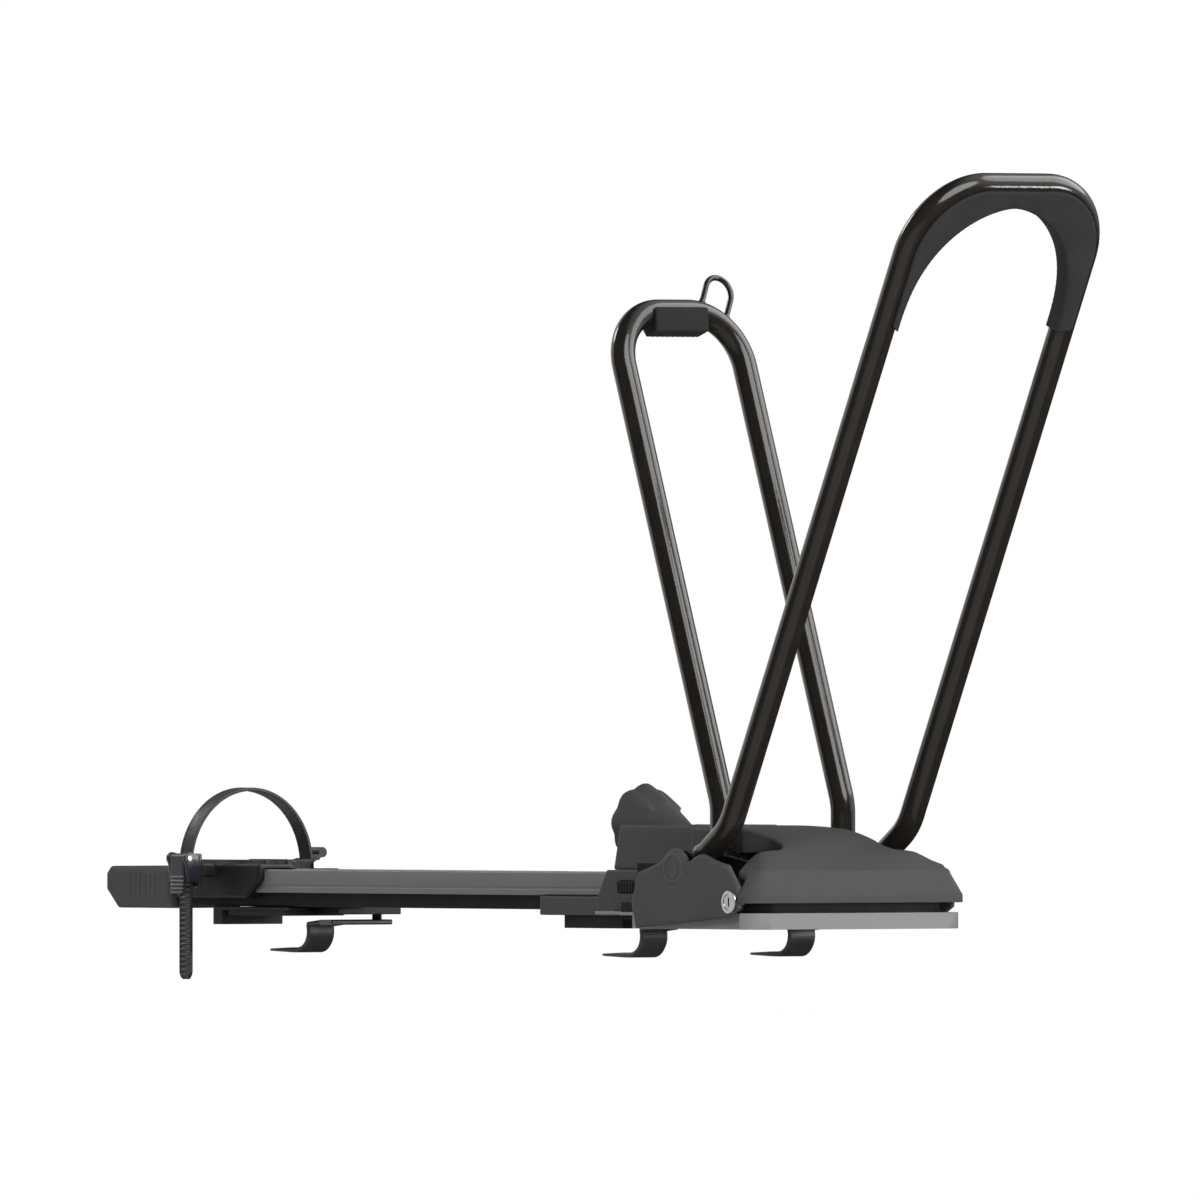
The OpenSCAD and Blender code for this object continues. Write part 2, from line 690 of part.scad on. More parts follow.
module rear_hoop_pad() color(rubber) hoop_frame(rear_hoop) difference() {
    plane_yz(-rubber_w / 2, rubber_w / 2)
        rect(-rear_pad_w / 2, rear_pad_w / 2, hoop_top(rear_hoop) - rear_pad_drop, hoop_top(rear_hoop));
    hoop_bar(rear_hoop, tube_r + fit_gap, 0);
}

// Welded wire loop on the left shoulder of the rear hoop
module lock_loop() color(black) hoop_frame(rear_hoop) difference() {
    foot = rear_corner_r;
    top = foot + tube_r + loop_h - loop_w / 2;
    translate([0, crown_hw(rear_hoop), hoop_top(rear_hoop) - rear_corner_r]) rotate([-loop_lean, 0, 0]) {
        for (s = [-1, 1]) translate([0, s * loop_w / 2, foot]) cylinder(d = loop_wire, h = top - foot);
        translate([0, 0, top]) rotate([90, 0, 90]) rotate_extrude(angle = 180) translate([loop_w / 2, 0])
            circle(d = loop_wire);
    }
    hoop_bar(rear_hoop, tube_r, 0);
}

// Tray
module tray_outline(gap) {
    rect(-tray_low_hw - gap, tray_low_hw + gap, tray_z - gap, tray_ledge_z + 1);
    rect(-tray_hw - gap, tray_hw + gap, tray_ledge_z - gap, tray_top + gap);
}

module channel_space() rect(-tray_hw + tray_wall, tray_hw - tray_wall, tray_ledge_z + tray_wall, tray_top + 10);

module tray_rail() color(charcoal) plane_yz(tray_x0, tray_x1) difference() {
    tray_outline(0);
    channel_space();
    rect(-tray_low_hw + tray_wall, tray_low_hw - tray_wall, tray_z + tray_wall, tray_ledge_z);
    rect(-slot_hw, slot_hw, tray_z - 1, tray_z + tray_wall + 1);
}

module tray_end_cap() color(charcoal) difference() {
    cap_wall = 1.5;
    chamfer = 14;
    plane_xz(-tray_hw - cap_wall, tray_hw + cap_wall) polygon([[tail_x, tray_z + chamfer],
        [tail_x + chamfer, tray_z - cap_wall], [tail_x + cap_len, tray_z - cap_wall],
        [tail_x + cap_len, tray_top + cap_wall], [tail_x + 5, tray_top + cap_wall], [tail_x, tray_top - 4]]);
    plane_yz(tray_x0, tail_x + cap_len + 1) tray_outline(fit_gap);
    plane_yz(tail_x + 10, tail_x + cap_len + 1) channel_space();
}

module tray_stop() color(black) box(tray_x1 - 20, tray_x1 - 2, -tray_hw + tray_wall, tray_hw - tray_wall,
    tray_ledge_z + tray_wall, tray_top - 4);

module strap_arch(r0, r1) intersection() {
    difference() {
        circle(r1);
        circle(r0);
    }
    rect(-r1, r1, 0, r1);
}

module wheel_cradle() color(black) difference() {
    union() {
        plane_yz(cradle_x0, cradle_x0 + cradle_len) {
            rect(-cradle_hw, cradle_hw, tray_ledge_z - tray_wall - 1.4, cradle_z);
            for (s = [-1, 1]) rect(s * 30 - 2, s * 30 + 2, cradle_z - 1, cradle_z + 3);
        }
        box(strap_x - strap_bay - cheek_plate, strap_x + strap_bay + cheek_plate,
            -strap_r + strap_t / 2 + 5, 0, tray_top - 6, cradle_z);
        for (s = [-1, 1]) translate([strap_x + s * (strap_bay + cheek_plate / 2), 0, 0]) {
            box(-cheek_plate / 2, cheek_plate / 2, 0, strap_r, tray_top - 3, strap_z + 5);
            translate([0, strap_r, strap_z]) cyl_x(anchor_r + 3, -cheek_plate / 2, cheek_plate / 2);
        }
    }
    plane_yz(cradle_x0 - 1, cradle_x0 + cradle_len + 1) tray_outline(side_gap);
    translate([0, strap_r, strap_z]) cyl_x(anchor_r + fit_gap, strap_x - 40, strap_x + 40);
    plane_xz(-cradle_hw - 1, cradle_hw + 1) polygon([[cradle_x0 + cradle_len + 1, cradle_z - 5],
        [cradle_x0 + cradle_len + 1, 0], [cradle_x0 + cradle_len - 30, 0]]);
}

module wheel_strap() color(black) {
    tail_z = strap_z - strap_tail;
    end_tab = 15;
    plane_yz(strap_x - strap_w / 2, strap_x + strap_w / 2) translate([0, strap_z]) difference() {
        union() {
            strap_arch(strap_r - strap_t / 2, strap_r + strap_t / 2);
            translate([strap_r, 0]) {
                circle(anchor_r + strap_t);
                rotate(45) rect(0, end_tab, -strap_t / 2, strap_t / 2);
                rotate(45) translate([end_tab, 0]) circle(4);
            }
            rect(-strap_r - strap_t / 2, -strap_r + strap_t / 2, -strap_tail + strap_w / 2, 0.1);
        }
        translate([strap_r, 0]) circle(anchor_r + run_gap);
    }
    translate([strap_x, 0, tail_z + strap_w / 2])
        cyl_y(strap_w / 2, -strap_r - strap_t / 2, -strap_r + strap_t / 2);
}

module strap_anchor_pin() color(steel) translate([strap_x, strap_r, strap_z]) {
    reach = strap_bay + cheek_plate;
    cyl_x(anchor_r, -reach - 1, reach + 1);
    cyl_x(anchor_r + 1.5, reach, reach + 2.5);
}

module buckle_body() color("#2d2d38") difference() {
    union() {
        box(strap_x - strap_bay - cheek_plate, strap_x + strap_bay + cheek_plate, -strap_r + strap_t / 2 + 2,
            -strap_r + strap_t / 2 + 5, strap_z - 16, buckle_z + 3);
        for (s = [-1, 1]) translate([strap_x + s * (strap_bay + cheek_plate / 2), 0, 0])
            box(-cheek_plate / 2, cheek_plate / 2, -buckle_y - 4.5, -strap_r + strap_t / 2 + 5,
                strap_z - 12, buckle_z + 4);
    }
    translate([strap_x, -buckle_y, buckle_z]) cyl_x(buckle_pin_r + fit_gap, -30, 30);
}

module buckle_pin() color(steel) translate([strap_x, -buckle_y, buckle_z])
    cyl_x(buckle_pin_r, -strap_bay - cheek_plate - 0.8, strap_bay + cheek_plate + 0.8);

module buckle_lever() color("#2d2d38") translate([strap_x, -buckle_y, buckle_z]) difference() {
    half = strap_bay - side_gap;
    union() {
        cyl_x(lever_hub_r, -half, half);
        box(-half, half, -lever_t / 2 - 1.5, lever_t / 2 - 1.5, -lever_drop, 0);
    }
    cyl_x(buckle_pin_r + run_gap, -30, 30);
}

// Feet
module claw(w_in, w_out) {
    plane_xz(w_in, w_out) {
        translate([nose_cx, -nose_r]) difference() {
            circle(claw_out_r);
            circle(claw_in_r);
            rect(-claw_out_r - 1, 0, -claw_out_r - 1, claw_out_r + 1);
            rect(-1, claw_out_r + 1, nose_r + tab_top, claw_out_r + 1);
        }
        rect(-5, nose_cx + 0.1, -bar_h - claw_gap - claw_t, -bar_h - claw_gap);
        rect(bar_chord / 2 + 0.5, claw_x + 8, tab_top - claw_t, tab_top);
    }
}

module stud(z1) translate([0, 0, tab_top - 1]) cylinder(r = stud_r, h = z1 - tab_top + 1);

module thumb_nut(z0, h) difference() {
    translate([0, 0, z0]) union() {
        cylinder(r = nut_r - 4, h = h);
        translate([0, 0, 3]) cylinder(r = nut_r, h = h - 5);
    }
    translate([0, 0, z0 - 1]) cylinder(r = stud_r + run_gap, h = h + 2);
    for (i = [0:5]) rotate(i * 60) translate([nut_r + 2.5, 0, z0 - 1]) cylinder(r = 4, h = h + 2);
}

module front_claw_left() color(graphite) {
    claw(claw_y - claw_w / 2, claw_y + claw_w / 2);
    translate([claw_x, claw_y, 0]) stud(floor_z + nut_h + 6);
}

module front_claw_right() color(graphite) mirror([0, 1, 0]) front_claw_left();

module front_claw_nut_left() color(black) translate([claw_x, claw_y, 0]) thumb_nut(floor_z + 0.1, nut_h);

module front_claw_nut_right() color(black) mirror([0, 1, 0]) front_claw_nut_left();

module rear_foot_bracket() color(black) translate([foot_x, 0, 0]) difference() {
    union() {
        box(-bar_chord / 2 - 14, bar_chord / 2 + 1, -30, 30, pad_t, base_z);
        box(-bar_chord / 2 - 14, -bar_chord / 2 - 2, -30, 30, -rim_drop - 1, pad_t + 0.1);
        box(claw_x - nut_r - 1, claw_x + nut_r + 1, 0, ear_y + nut_r, 1, base_z);
        box(0, claw_x - nut_r, 0, 30, 2, base_z);
    }
    translate([claw_x, ear_y, 0]) cylinder(r = stud_r + stud_gap, h = 20);
    box(-pad_len / 2, pad_len / 2, -30, 31, -1, pad_t);
}

module rear_foot_pad() color(rubber) translate([foot_x, 0, 0])
    box(-pad_len / 2, pad_len / 2, -30, 30, 0, pad_t);

module rear_foot_slider() color(black) translate([foot_x, 0, 0]) {
    box(-30, 30, -20, 20, tray_z + tray_wall + side_gap, tray_z + tray_wall + side_gap + 4.5);
    box(-28, 28, -slot_hw + slide_gap, slot_hw - slide_gap, base_z, tray_z + tray_wall + side_gap + 0.1);
}

module rear_claw() color(graphite) translate([foot_x, 0, 0]) {
    claw(-claw_w / 2, claw_w / 2);
    box(bar_chord / 2 + 0.5, claw_x + 8, 0, ear_y + 9, tab_top - claw_t, tab_top);
    translate([claw_x, ear_y, 0]) stud(base_z + 16);
}

module rear_claw_nut() color(black) translate([foot_x + claw_x, ear_y, 0]) thumb_nut(base_z + 0.1, 13);

base_plate();
chassis_frame();
dome_cover();
tower_shroud();
side_cover_right();
side_cover_left();
tray_sleeve();
saddle_block();
front_pad();
rear_hoop_pins();
rear_pin_clips();
thrust_bush();
base_bolts();
side_cover_screws();
lock_housing();
lock_core();
torque_knob();
knob_cap();
draw_screw();
screw_collar();
carriage_yoke();
draw_nut();
front_hoop_pins();
front_pin_clips();
front_hoop_tube();
front_hoop_eyes();
front_hoop_bushes();
front_hoop_arch();
rear_hoop_tube();
rear_hoop_eyes();
rear_hoop_bushes();
rear_hoop_pad();
lock_loop();
tray_rail();
tray_end_cap();
tray_stop();
tray_button();
wheel_cradle();
wheel_strap();
strap_anchor_pin();
buckle_body();
buckle_pin();
buckle_lever();
rear_foot_bracket();
rear_foot_pad();
rear_foot_slider();
rear_claw();
rear_claw_nut();
front_claw_right();
front_claw_left();
front_claw_nut_right();
front_claw_nut_left();
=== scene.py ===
"""Studio scene of a roof-mounted upright bike carrier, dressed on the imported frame.

Shapes are worked out in millimetres in the frame's axes: +X forwards, +Y left, +Z up.
"""
import math

import bpy
import numpy as np
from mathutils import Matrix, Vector

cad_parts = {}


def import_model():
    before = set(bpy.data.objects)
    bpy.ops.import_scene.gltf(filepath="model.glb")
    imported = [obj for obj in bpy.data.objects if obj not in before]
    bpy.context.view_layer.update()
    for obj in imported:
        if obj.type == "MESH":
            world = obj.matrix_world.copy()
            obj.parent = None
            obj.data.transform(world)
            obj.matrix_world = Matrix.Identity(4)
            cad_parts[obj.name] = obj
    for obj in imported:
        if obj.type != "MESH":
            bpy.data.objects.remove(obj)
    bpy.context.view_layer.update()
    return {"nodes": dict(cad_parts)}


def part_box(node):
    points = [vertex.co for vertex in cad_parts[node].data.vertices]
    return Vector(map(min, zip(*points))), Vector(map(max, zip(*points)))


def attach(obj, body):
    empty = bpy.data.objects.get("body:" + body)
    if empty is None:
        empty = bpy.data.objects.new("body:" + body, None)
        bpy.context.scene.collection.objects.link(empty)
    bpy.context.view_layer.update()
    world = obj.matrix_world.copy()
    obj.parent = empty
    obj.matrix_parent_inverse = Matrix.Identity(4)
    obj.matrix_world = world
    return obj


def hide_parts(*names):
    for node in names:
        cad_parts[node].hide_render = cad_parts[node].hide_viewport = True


MM = 0.001
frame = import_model()


def span(node):
    """Lowest and highest corner of a CAD node, in millimetres."""
    low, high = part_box(node)
    return np.array(low) / MM, np.array(high) / MM


# Places read from the frame
PIN_LOW, PIN_HIGH = span("rear_hoop_pins")
AXLE_X, AXLE_Z = (PIN_LOW[0] + PIN_HIGH[0]) / 2, (PIN_LOW[2] + PIN_HIGH[2]) / 2
DOME_LOW, DOME_HIGH = span("dome_cover")
TOWER_LOW, TOWER_HIGH = span("tower_shroud")
COVER_LOW, COVER_HIGH = span("side_cover_left")
SLEEVE_LOW, SLEEVE_HIGH = span("tray_sleeve")
BUTTON_LOW, BUTTON_HIGH = span("tray_button")
TRAY_LOW, TRAY_HIGH = span("tray_rail")
CAP_LOW, CAP_HIGH = span("tray_end_cap")
CRADLE_LOW, CRADLE_HIGH = span("wheel_cradle")
STRAP_LOW, STRAP_HIGH = span("wheel_strap")
BUCKLE_LOW, BUCKLE_HIGH = span("buckle_body")
LEVER_LOW, LEVER_HIGH = span("buckle_lever")
STRAP_X = (STRAP_LOW[0] + STRAP_HIGH[0]) / 2

# Driving sizes shared with the solids: R is a radius, T a thickness, W a width, HW half a width
DRAW_TILT = 10
SCREW_OFF = 5
KNOB_BACK, KNOB_R, KNOB_LOBES = 178, 29, 8
KNOB_CAP_R, KNOB_SEAT = KNOB_R / 2, 3
KNEE_R = 45
TUBE_R = 9.5
EYE_R = 14.5
BUTTON_R = 4.5
TRAY_LEDGE_Z, TRAY_WALL, TRAY_LOW_HW, SLOT_HW = 18, 3, 28, 6
CHANNEL_X1, CHANNEL_Y0 = AXLE_X + 65, 48.3
STRAP_R, STRAP_T, STRAP_W, STRAP_Z = 60, 3, 14, TRAY_HIGH[2] + 2
BAY_HW, CHEEK_T = STRAP_W / 2 + 1.5, 3.5
PIVOT_Y, PIVOT_Z = -66, STRAP_Z + 6.5
BAR_H, BAR_SPREAD = 24, 500
CLAW_T, CLAW_TAB_Z, STUD_X, STUD_R = 4, -3, 50, 4
FRONT_HOOP = dict(reach=542, stub=54, knee=29.2, half_w=88, corner=58, lean=25.7)
REAR_HOOP = dict(reach=400, stub=49, knee=19.5, half_w=59.5, corner=45, lean=-19.5)


# Materials
def nodes_of(material):
    material.use_nodes = True
    tree = material.node_tree
    return tree, tree.nodes["Principled BSDF"]


def add(tree, kind, **values):
    """A new node, with its sockets or attributes set by name."""
    node = tree.nodes.new(kind)
    for key, value in values.items():
        name = key.replace("_", " ").title()
        if name in node.inputs:
            node.inputs[name].default_value = value
        else:
            setattr(node, key, value)
    return node


def noise(tree, coords, scale, detail):
    node = add(tree, "ShaderNodeTexNoise", scale=scale, detail=detail)
    tree.links.new(coords, node.inputs["Vector"])
    return node.outputs["Fac"]


def remap(tree, value, low, high, to_low, to_high):
    node = tree.nodes.new("ShaderNodeMapRange")
    for socket, number in zip(node.inputs[1:5], (low, high, to_low, to_high)):
        socket.default_value = number
    tree.links.new(value, node.inputs[0])
    return node.outputs[0]


def mix(tree, kind, share, low, high):
    """From low to high by a share; each of the two is a constant or a socket."""
    first, result = {"FLOAT": (2, 0), "RGBA": (6, 2)}[kind]
    node = add(tree, "ShaderNodeMix", data_type=kind)
    tree.links.new(share, node.inputs[0])
    for socket, value in zip(node.inputs[first:first + 2], (low, high)):
        if isinstance(value, (float, tuple)):
            socket.default_value = value
        else:
            tree.links.new(value, socket)
    return node.outputs[result]


def rgba(colour, gain, lift=0.0):
    """A lighter or darker colour, as a socket takes it."""
    return (*(min(1, c * gain + lift) for c in colour), 1)


def worn(tree, tint, colour, wear):
    """The tint, lighter along raised edges."""
    raised = tree.nodes.new("ShaderNodeNewGeometry").outputs["Pointiness"]
    edge = remap(tree, raised, 0.52, 0.6, 0.0, wear)
    return mix(tree, "RGBA", edge, tint, rgba(colour, 2.2, 0.03))


def grained(tree, shader, coords, depth, size):
    """A fine relief of a size in millimetres."""
    fine = noise(tree, coords, 1 / (size * MM), 2.0)
    bump = add(tree, "ShaderNodeBump", strength=depth, distance=size * MM * 0.5)
    tree.links.new(fine, bump.inputs["Height"])
    tree.links.new(bump.outputs["Normal"], shader.inputs["Normal"])


def finish(name, colour, rough, grain, grain_size, mottle, wear=0.0, metallic=0.0, coat=0.0,
           specular=0.5):
    """A moulded, painted or plain metal finish, mottled in its colour and its gloss."""
    material = bpy.data.materials.new(name)
    tree, shader = nodes_of(material)
    coords = tree.nodes.new("ShaderNodeTexCoord").outputs["Object"]
    cloud = noise(tree, coords, 45.0, 4.0)
    patch = remap(tree, cloud, 0.3, 0.7, 0.0, 1.0)
    tint = mix(tree, "RGBA", patch, rgba(colour, 1 - mottle), rgba(colour, 1 + mottle))
    if wear:
        tint = worn(tree, tint, colour, wear)
    tree.links.new(tint, shader.inputs["Base Color"])
    uneven = remap(tree, cloud, 0.3, 0.7, rough * 0.88, min(1, rough * 1.12))
    tree.links.new(uneven, shader.inputs["Roughness"])
    shader.inputs["Metallic"].default_value = metallic
    shader.inputs["Coat Weight"].default_value = coat
    shader.inputs["Coat Roughness"].default_value = 0.08
    shader.inputs["Specular IOR Level"].default_value = specular
    grained(tree, shader, coords, grain, grain_size)
    return material


FINISHES = {
    "base_paint": dict(colour=(0.19, 0.187, 0.19), rough=0.42, grain=0.15, grain_size=0.8,
                       mottle=0.05, wear=0.25, specular=0.3),
    "chassis_black": dict(colour=(0.006, 0.0055, 0.005), rough=0.6, grain=0.2, grain_size=0.6,
                          mottle=0.15, wear=0.15, specular=0.2),
    "charcoal_plastic": dict(colour=(0.062, 0.061, 0.063), rough=0.6, grain=0.35,
                             grain_size=0.45, mottle=0.08, wear=0.3, specular=0.15),
    "tray_paint": dict(colour=(0.112, 0.11, 0.115), rough=0.4, grain=0.12, grain_size=0.7,
                       mottle=0.05, wear=0.3),
    "black_plastic": dict(colour=(0.010, 0.010, 0.0105), rough=0.5, grain=0.35, grain_size=0.45,
                          mottle=0.12, wear=0.25, specular=0.35),
    "strap_plastic": dict(colour=(0.014, 0.014, 0.015), rough=0.42, grain=0.2, grain_size=0.5,
                          mottle=0.12, wear=0.2),
    "buckle_plastic": dict(colour=(0.020, 0.020, 0.029), rough=0.3, grain=0.15, grain_size=0.5,
                           mottle=0.1, wear=0.3, coat=0.2),
    # The brown tint in the tubes' black paint is painted reflection of dark brown surroundings
    "tube_paint": dict(colour=(0.013, 0.011, 0.009), rough=0.14, grain=0.03, grain_size=6.0,
                       mottle=0.15),
    "claw_paint": dict(colour=(0.022, 0.020, 0.018), rough=0.4, grain=0.15, grain_size=0.8,
                       mottle=0.12, wear=0.3),
    "rubber": dict(colour=(0.023, 0.022, 0.0235), rough=0.8, grain=0.5, grain_size=0.6,
                   mottle=0.1, wear=0.1, specular=0.15),
    "nylon": dict(colour=(0.70, 0.68, 0.62), rough=0.4, grain=0.1, grain_size=0.5, mottle=0.03),
    "steel": dict(colour=(0.55, 0.55, 0.56), rough=0.32, grain=0.12, grain_size=0.35,
                  mottle=0.06, metallic=1.0),
    "lock_chrome": dict(colour=(0.78, 0.78, 0.79), rough=0.12, grain=0.04, grain_size=0.3,
                        mottle=0.03, metallic=1.0),
    "nut_brass": dict(colour=(0.62, 0.46, 0.16), rough=0.3, grain=0.1, grain_size=0.35,
                      mottle=0.06, metallic=1.0),
}
LOOKS = {name: finish(name, **values) for name, values in FINISHES.items()}


def dress(obj, slot):
    obj.data.materials.clear()
    obj.data.materials.append(LOOKS[slot])


# Meshes
def piece(name, verts, faces, body, slot, replaces=()):
    """A smooth mesh in millimetres that rides on a body and stands for CAD nodes."""
    mesh = bpy.data.meshes.new(name)
    places = (np.asarray(verts, float) * MM).tolist()
    mesh.from_pydata(places, [], [list(map(int, f)) for f in faces])
    mesh.update()
    mesh.polygons.foreach_set("use_smooth", np.ones(len(mesh.polygons), bool))
    obj = bpy.data.objects.new(name, mesh)
    bpy.context.collection.objects.link(obj)
    dress(obj, slot)
    if replaces:
        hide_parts(*replaces)
    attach(obj, body)
    return obj


def crisp(obj, degrees):
    """Edges sharper than an angle stay sharp in the shading."""
    obj.data.set_sharp_from_angle(angle=math.radians(degrees))


def merged(*meshes):
    """Several (verts, faces) as one."""
    verts, faces, start = [], [], 0
    for v, f in meshes:
        verts.extend(np.asarray(v, float).tolist())
        faces.extend([[int(i) + start for i in face] for face in f])
        start += len(v)
    return verts, faces


def loft(rings, closed_ends=True):
    """Skin over closed rings of equal length."""
    rings = np.asarray(rings, float)
    count, size = rings.shape[:2]
    faces = []
    for i in range(count - 1):
        for j in range(size):
            k = (j + 1) % size
            faces.append([i * size + j, i * size + k, (i + 1) * size + k, (i + 1) * size + j])
    if closed_ends:
        faces.append(list(range(size))[::-1])
        faces.append([(count - 1) * size + j for j in range(size)])
    return rings.reshape(-1, 3), faces


def sweep(path, radius, around, up):
    """A round bar along a path, with a radius for each point."""
    path = np.asarray(path, float)
    tangent = np.gradient(path, axis=0)
    tangent /= np.linalg.norm(tangent, axis=1)[:, None]
    angle = np.arange(around) * 2 * math.pi / around
    rings, side = [], np.asarray(up, float)
    for p, t, r in zip(path, tangent, radius):
        side = side - t * side.dot(t)
        side = side / np.linalg.norm(side)
        other = np.cross(t, side)
        rings.append(p + r * (np.cos(angle)[:, None] * side + np.sin(angle)[:, None] * other))
    return loft(rings)


def drawn_onto(field, verts, cell):
    """Points moved along the field's slope to where it is 0."""
    probe, longest = 0.1 * cell, 0.4 * cell
    for _ in range(3):
        value = field(*verts.T)
        slope = np.stack([(field(*(verts + d).T) - field(*(verts - d).T)) / (2 * probe)
                          for d in np.eye(3) * probe], axis=1)
        step = slope * (value / np.maximum((slope ** 2).sum(axis=1), 0.05))[:, None]
        verts = verts - np.clip(step, -longest, longest)
    return verts


def isosurface(field, low, high, cell):
    """Mesh of field = 0, with the field negative inside. Each cell it passes has one vertex."""
    low, high = np.asarray(low, float), np.asarray(high, float)
    count = np.ceil((high - low) / cell).astype(int) + 1
    axes = np.ix_(*(low[a] + cell * np.arange(count[a]) for a in range(3)))
    grid = np.broadcast_to(field(*axes), count)
    cells = count - 1
    total, hits, quads = np.zeros((cells.prod(), 3)), np.zeros(cells.prod(), int), []
    for a in range(3):
        b, c = (a + 1) % 3, (a + 2) % 3
        lead = np.moveaxis(grid, a, 0)
        near, far = np.moveaxis(lead[:-1], 0, a), np.moveaxis(lead[1:], 0, a)
        at = np.argwhere((near < 0) != (far < 0))
        at = at[(at[:, b] > 0) & (at[:, b] < cells[b]) & (at[:, c] > 0) & (at[:, c] < cells[c])]
        start, end = near[tuple(at.T)], far[tuple(at.T)]
        point = at.astype(float)
        point[:, a] += start / (start - end)
        ring = []
        for step_b, step_c in ((0, 0), (-1, 0), (-1, -1), (0, -1)):
            cell_at = at.copy()
            cell_at[:, b] += step_b
            cell_at[:, c] += step_c
            ring.append(np.ravel_multi_index(tuple(cell_at.T), cells))
            np.add.at(total, ring[-1], point)
            np.add.at(hits, ring[-1], 1)
        ring = np.stack(ring, axis=1)
        quads.append(np.where((start < 0)[:, None], ring, ring[:, ::-1]))
    used = hits > 0
    number = np.cumsum(used) - 1
    verts = low + cell * total[used] / hits[used][:, None]
    return drawn_onto(field, verts, cell), number[np.concatenate(quads)].tolist()


# Outlines and paths
def mirrored(section):
    """The other half of a section, from its end back to its start."""
    return [(-u, v) for u, v in section[::-1]]


def chamfered(u0, u1, v0, v1, cut):
    """A rectangle with its corners cut off."""
    return [(u0, v0 + cut), (u0 + cut, v0), (u1 - cut, v0), (u1, v0 + cut),
            (u1, v1 - cut), (u1 - cut, v1), (u0 + cut, v1), (u0, v1 - cut)]


def both_sides(half):
    """A path from the left end over the middle, where half starts, to the right end."""
    return np.concatenate([half[::-1], half[1:] * (1, -1, 1)])


def run_along(path):
    """Length of the path up to each of its points."""
    return np.concatenate([[0], np.cumsum(np.linalg.norm(np.diff(path, axis=0), axis=1))])


def about_axle(points, degrees):
    """Points given from the axle, leaned forwards about it, in the frame's axes."""
    turn = math.radians(degrees)
    x, y, z = np.asarray(points, float).T
    return np.stack([AXLE_X + x * math.cos(turn) + z * math.sin(turn), y,
                     AXLE_Z - x * math.sin(turn) + z * math.cos(turn)], axis=1)


def draw_frame(points):
    """From the draw screw's own axes, with its origin over the axle, to the frame's."""
    return about_axle(np.asarray(points, float) + (0, 0, SCREW_OFF), DRAW_TILT)


# Distance fields, in millimetres, negative inside
def soft_min(a, b, r):
    """The two solids together, with a fillet about as wide as r."""
    h = np.clip(0.5 + 0.5 * (b - a) / r, 0, 1)
    return b + (a - b) * h - r * h * (1 - h)


def soft_max(a, b, r):
    """What the two solids share, with edges softened by about r."""
    return -soft_min(-a, -b, r)


def between(v, low, high):
    return np.abs(v - (low + high) / 2) - (high - low) / 2


def rounded(*sides, r):
    """Solid between sides given as distances, with edges of radius r."""
    out = sum(np.maximum(s + r, 0) ** 2 for s in sides) ** 0.5
    inner = sides[0]
    for s in sides[1:]:
        inner = np.maximum(inner, s)
    return out + np.minimum(inner + r, 0) - r


def block(x, y, z, low, high, r):
    sides = [between(v, low[a], high[a]) for a, v in enumerate((x, y, z))]
    return rounded(*sides, r=r)


def polygon(u, v, points):
    """Signed distance to a polygon in a plane."""
    points = np.asarray(points, float)
    best, sign = np.inf, 1.0
    for (ax, ay), (bx, by) in zip(points, np.roll(points, 1, axis=0)):
        ex, ey, wu, wv = bx - ax, by - ay, u - ax, v - ay
        t = np.clip((wu * ex + wv * ey) / (ex * ex + ey * ey), 0, 1)
        best = np.minimum(best, (wu - ex * t) ** 2 + (wv - ey * t) ** 2)
        above, below, left = v >= ay, v < by, ex * wv > ey * wu
        sign = np.where((above & below & left) | (~above & ~below & ~left), -sign, sign)
    return sign * np.sqrt(best)


def ripple(v, pitch):
    """A wave for ribs, 1 where v is 0."""
    return np.cos(v * 2 * math.pi / pitch)


def lobe_turn(u, v, count):
    """Angle from the middle of the nearest of count lobes, the first of them along u."""
    pitch = 2 * math.pi / count
    return (np.arctan2(v, u) + pitch / 2) % pitch - pitch / 2


def tray_section(y, z, gap):
    """The tray's outside, a low box under a wider channel."""
    side = np.abs(y)
    low = np.maximum(side - TRAY_LOW_HW - gap, between(z, TRAY_LOW[2] - gap, TRAY_LEDGE_Z + 1))
    high = between(z, TRAY_LEDGE_Z - gap, TRAY_HIGH[2] + gap)
    return np.minimum(low, np.maximum(side - TRAY_HIGH[1] - gap, high))


def button_plan(x, z, r):
    """The release button's oval, with ends of radius r."""
    middle = (BUTTON_LOW + BUTTON_HIGH) / 2
    reach = (BUTTON_HIGH[0] - BUTTON_LOW[0]) / 2 - BUTTON_R
    return np.hypot(np.maximum(np.abs(x - middle[0]) - reach, 0), z - middle[2]) - r


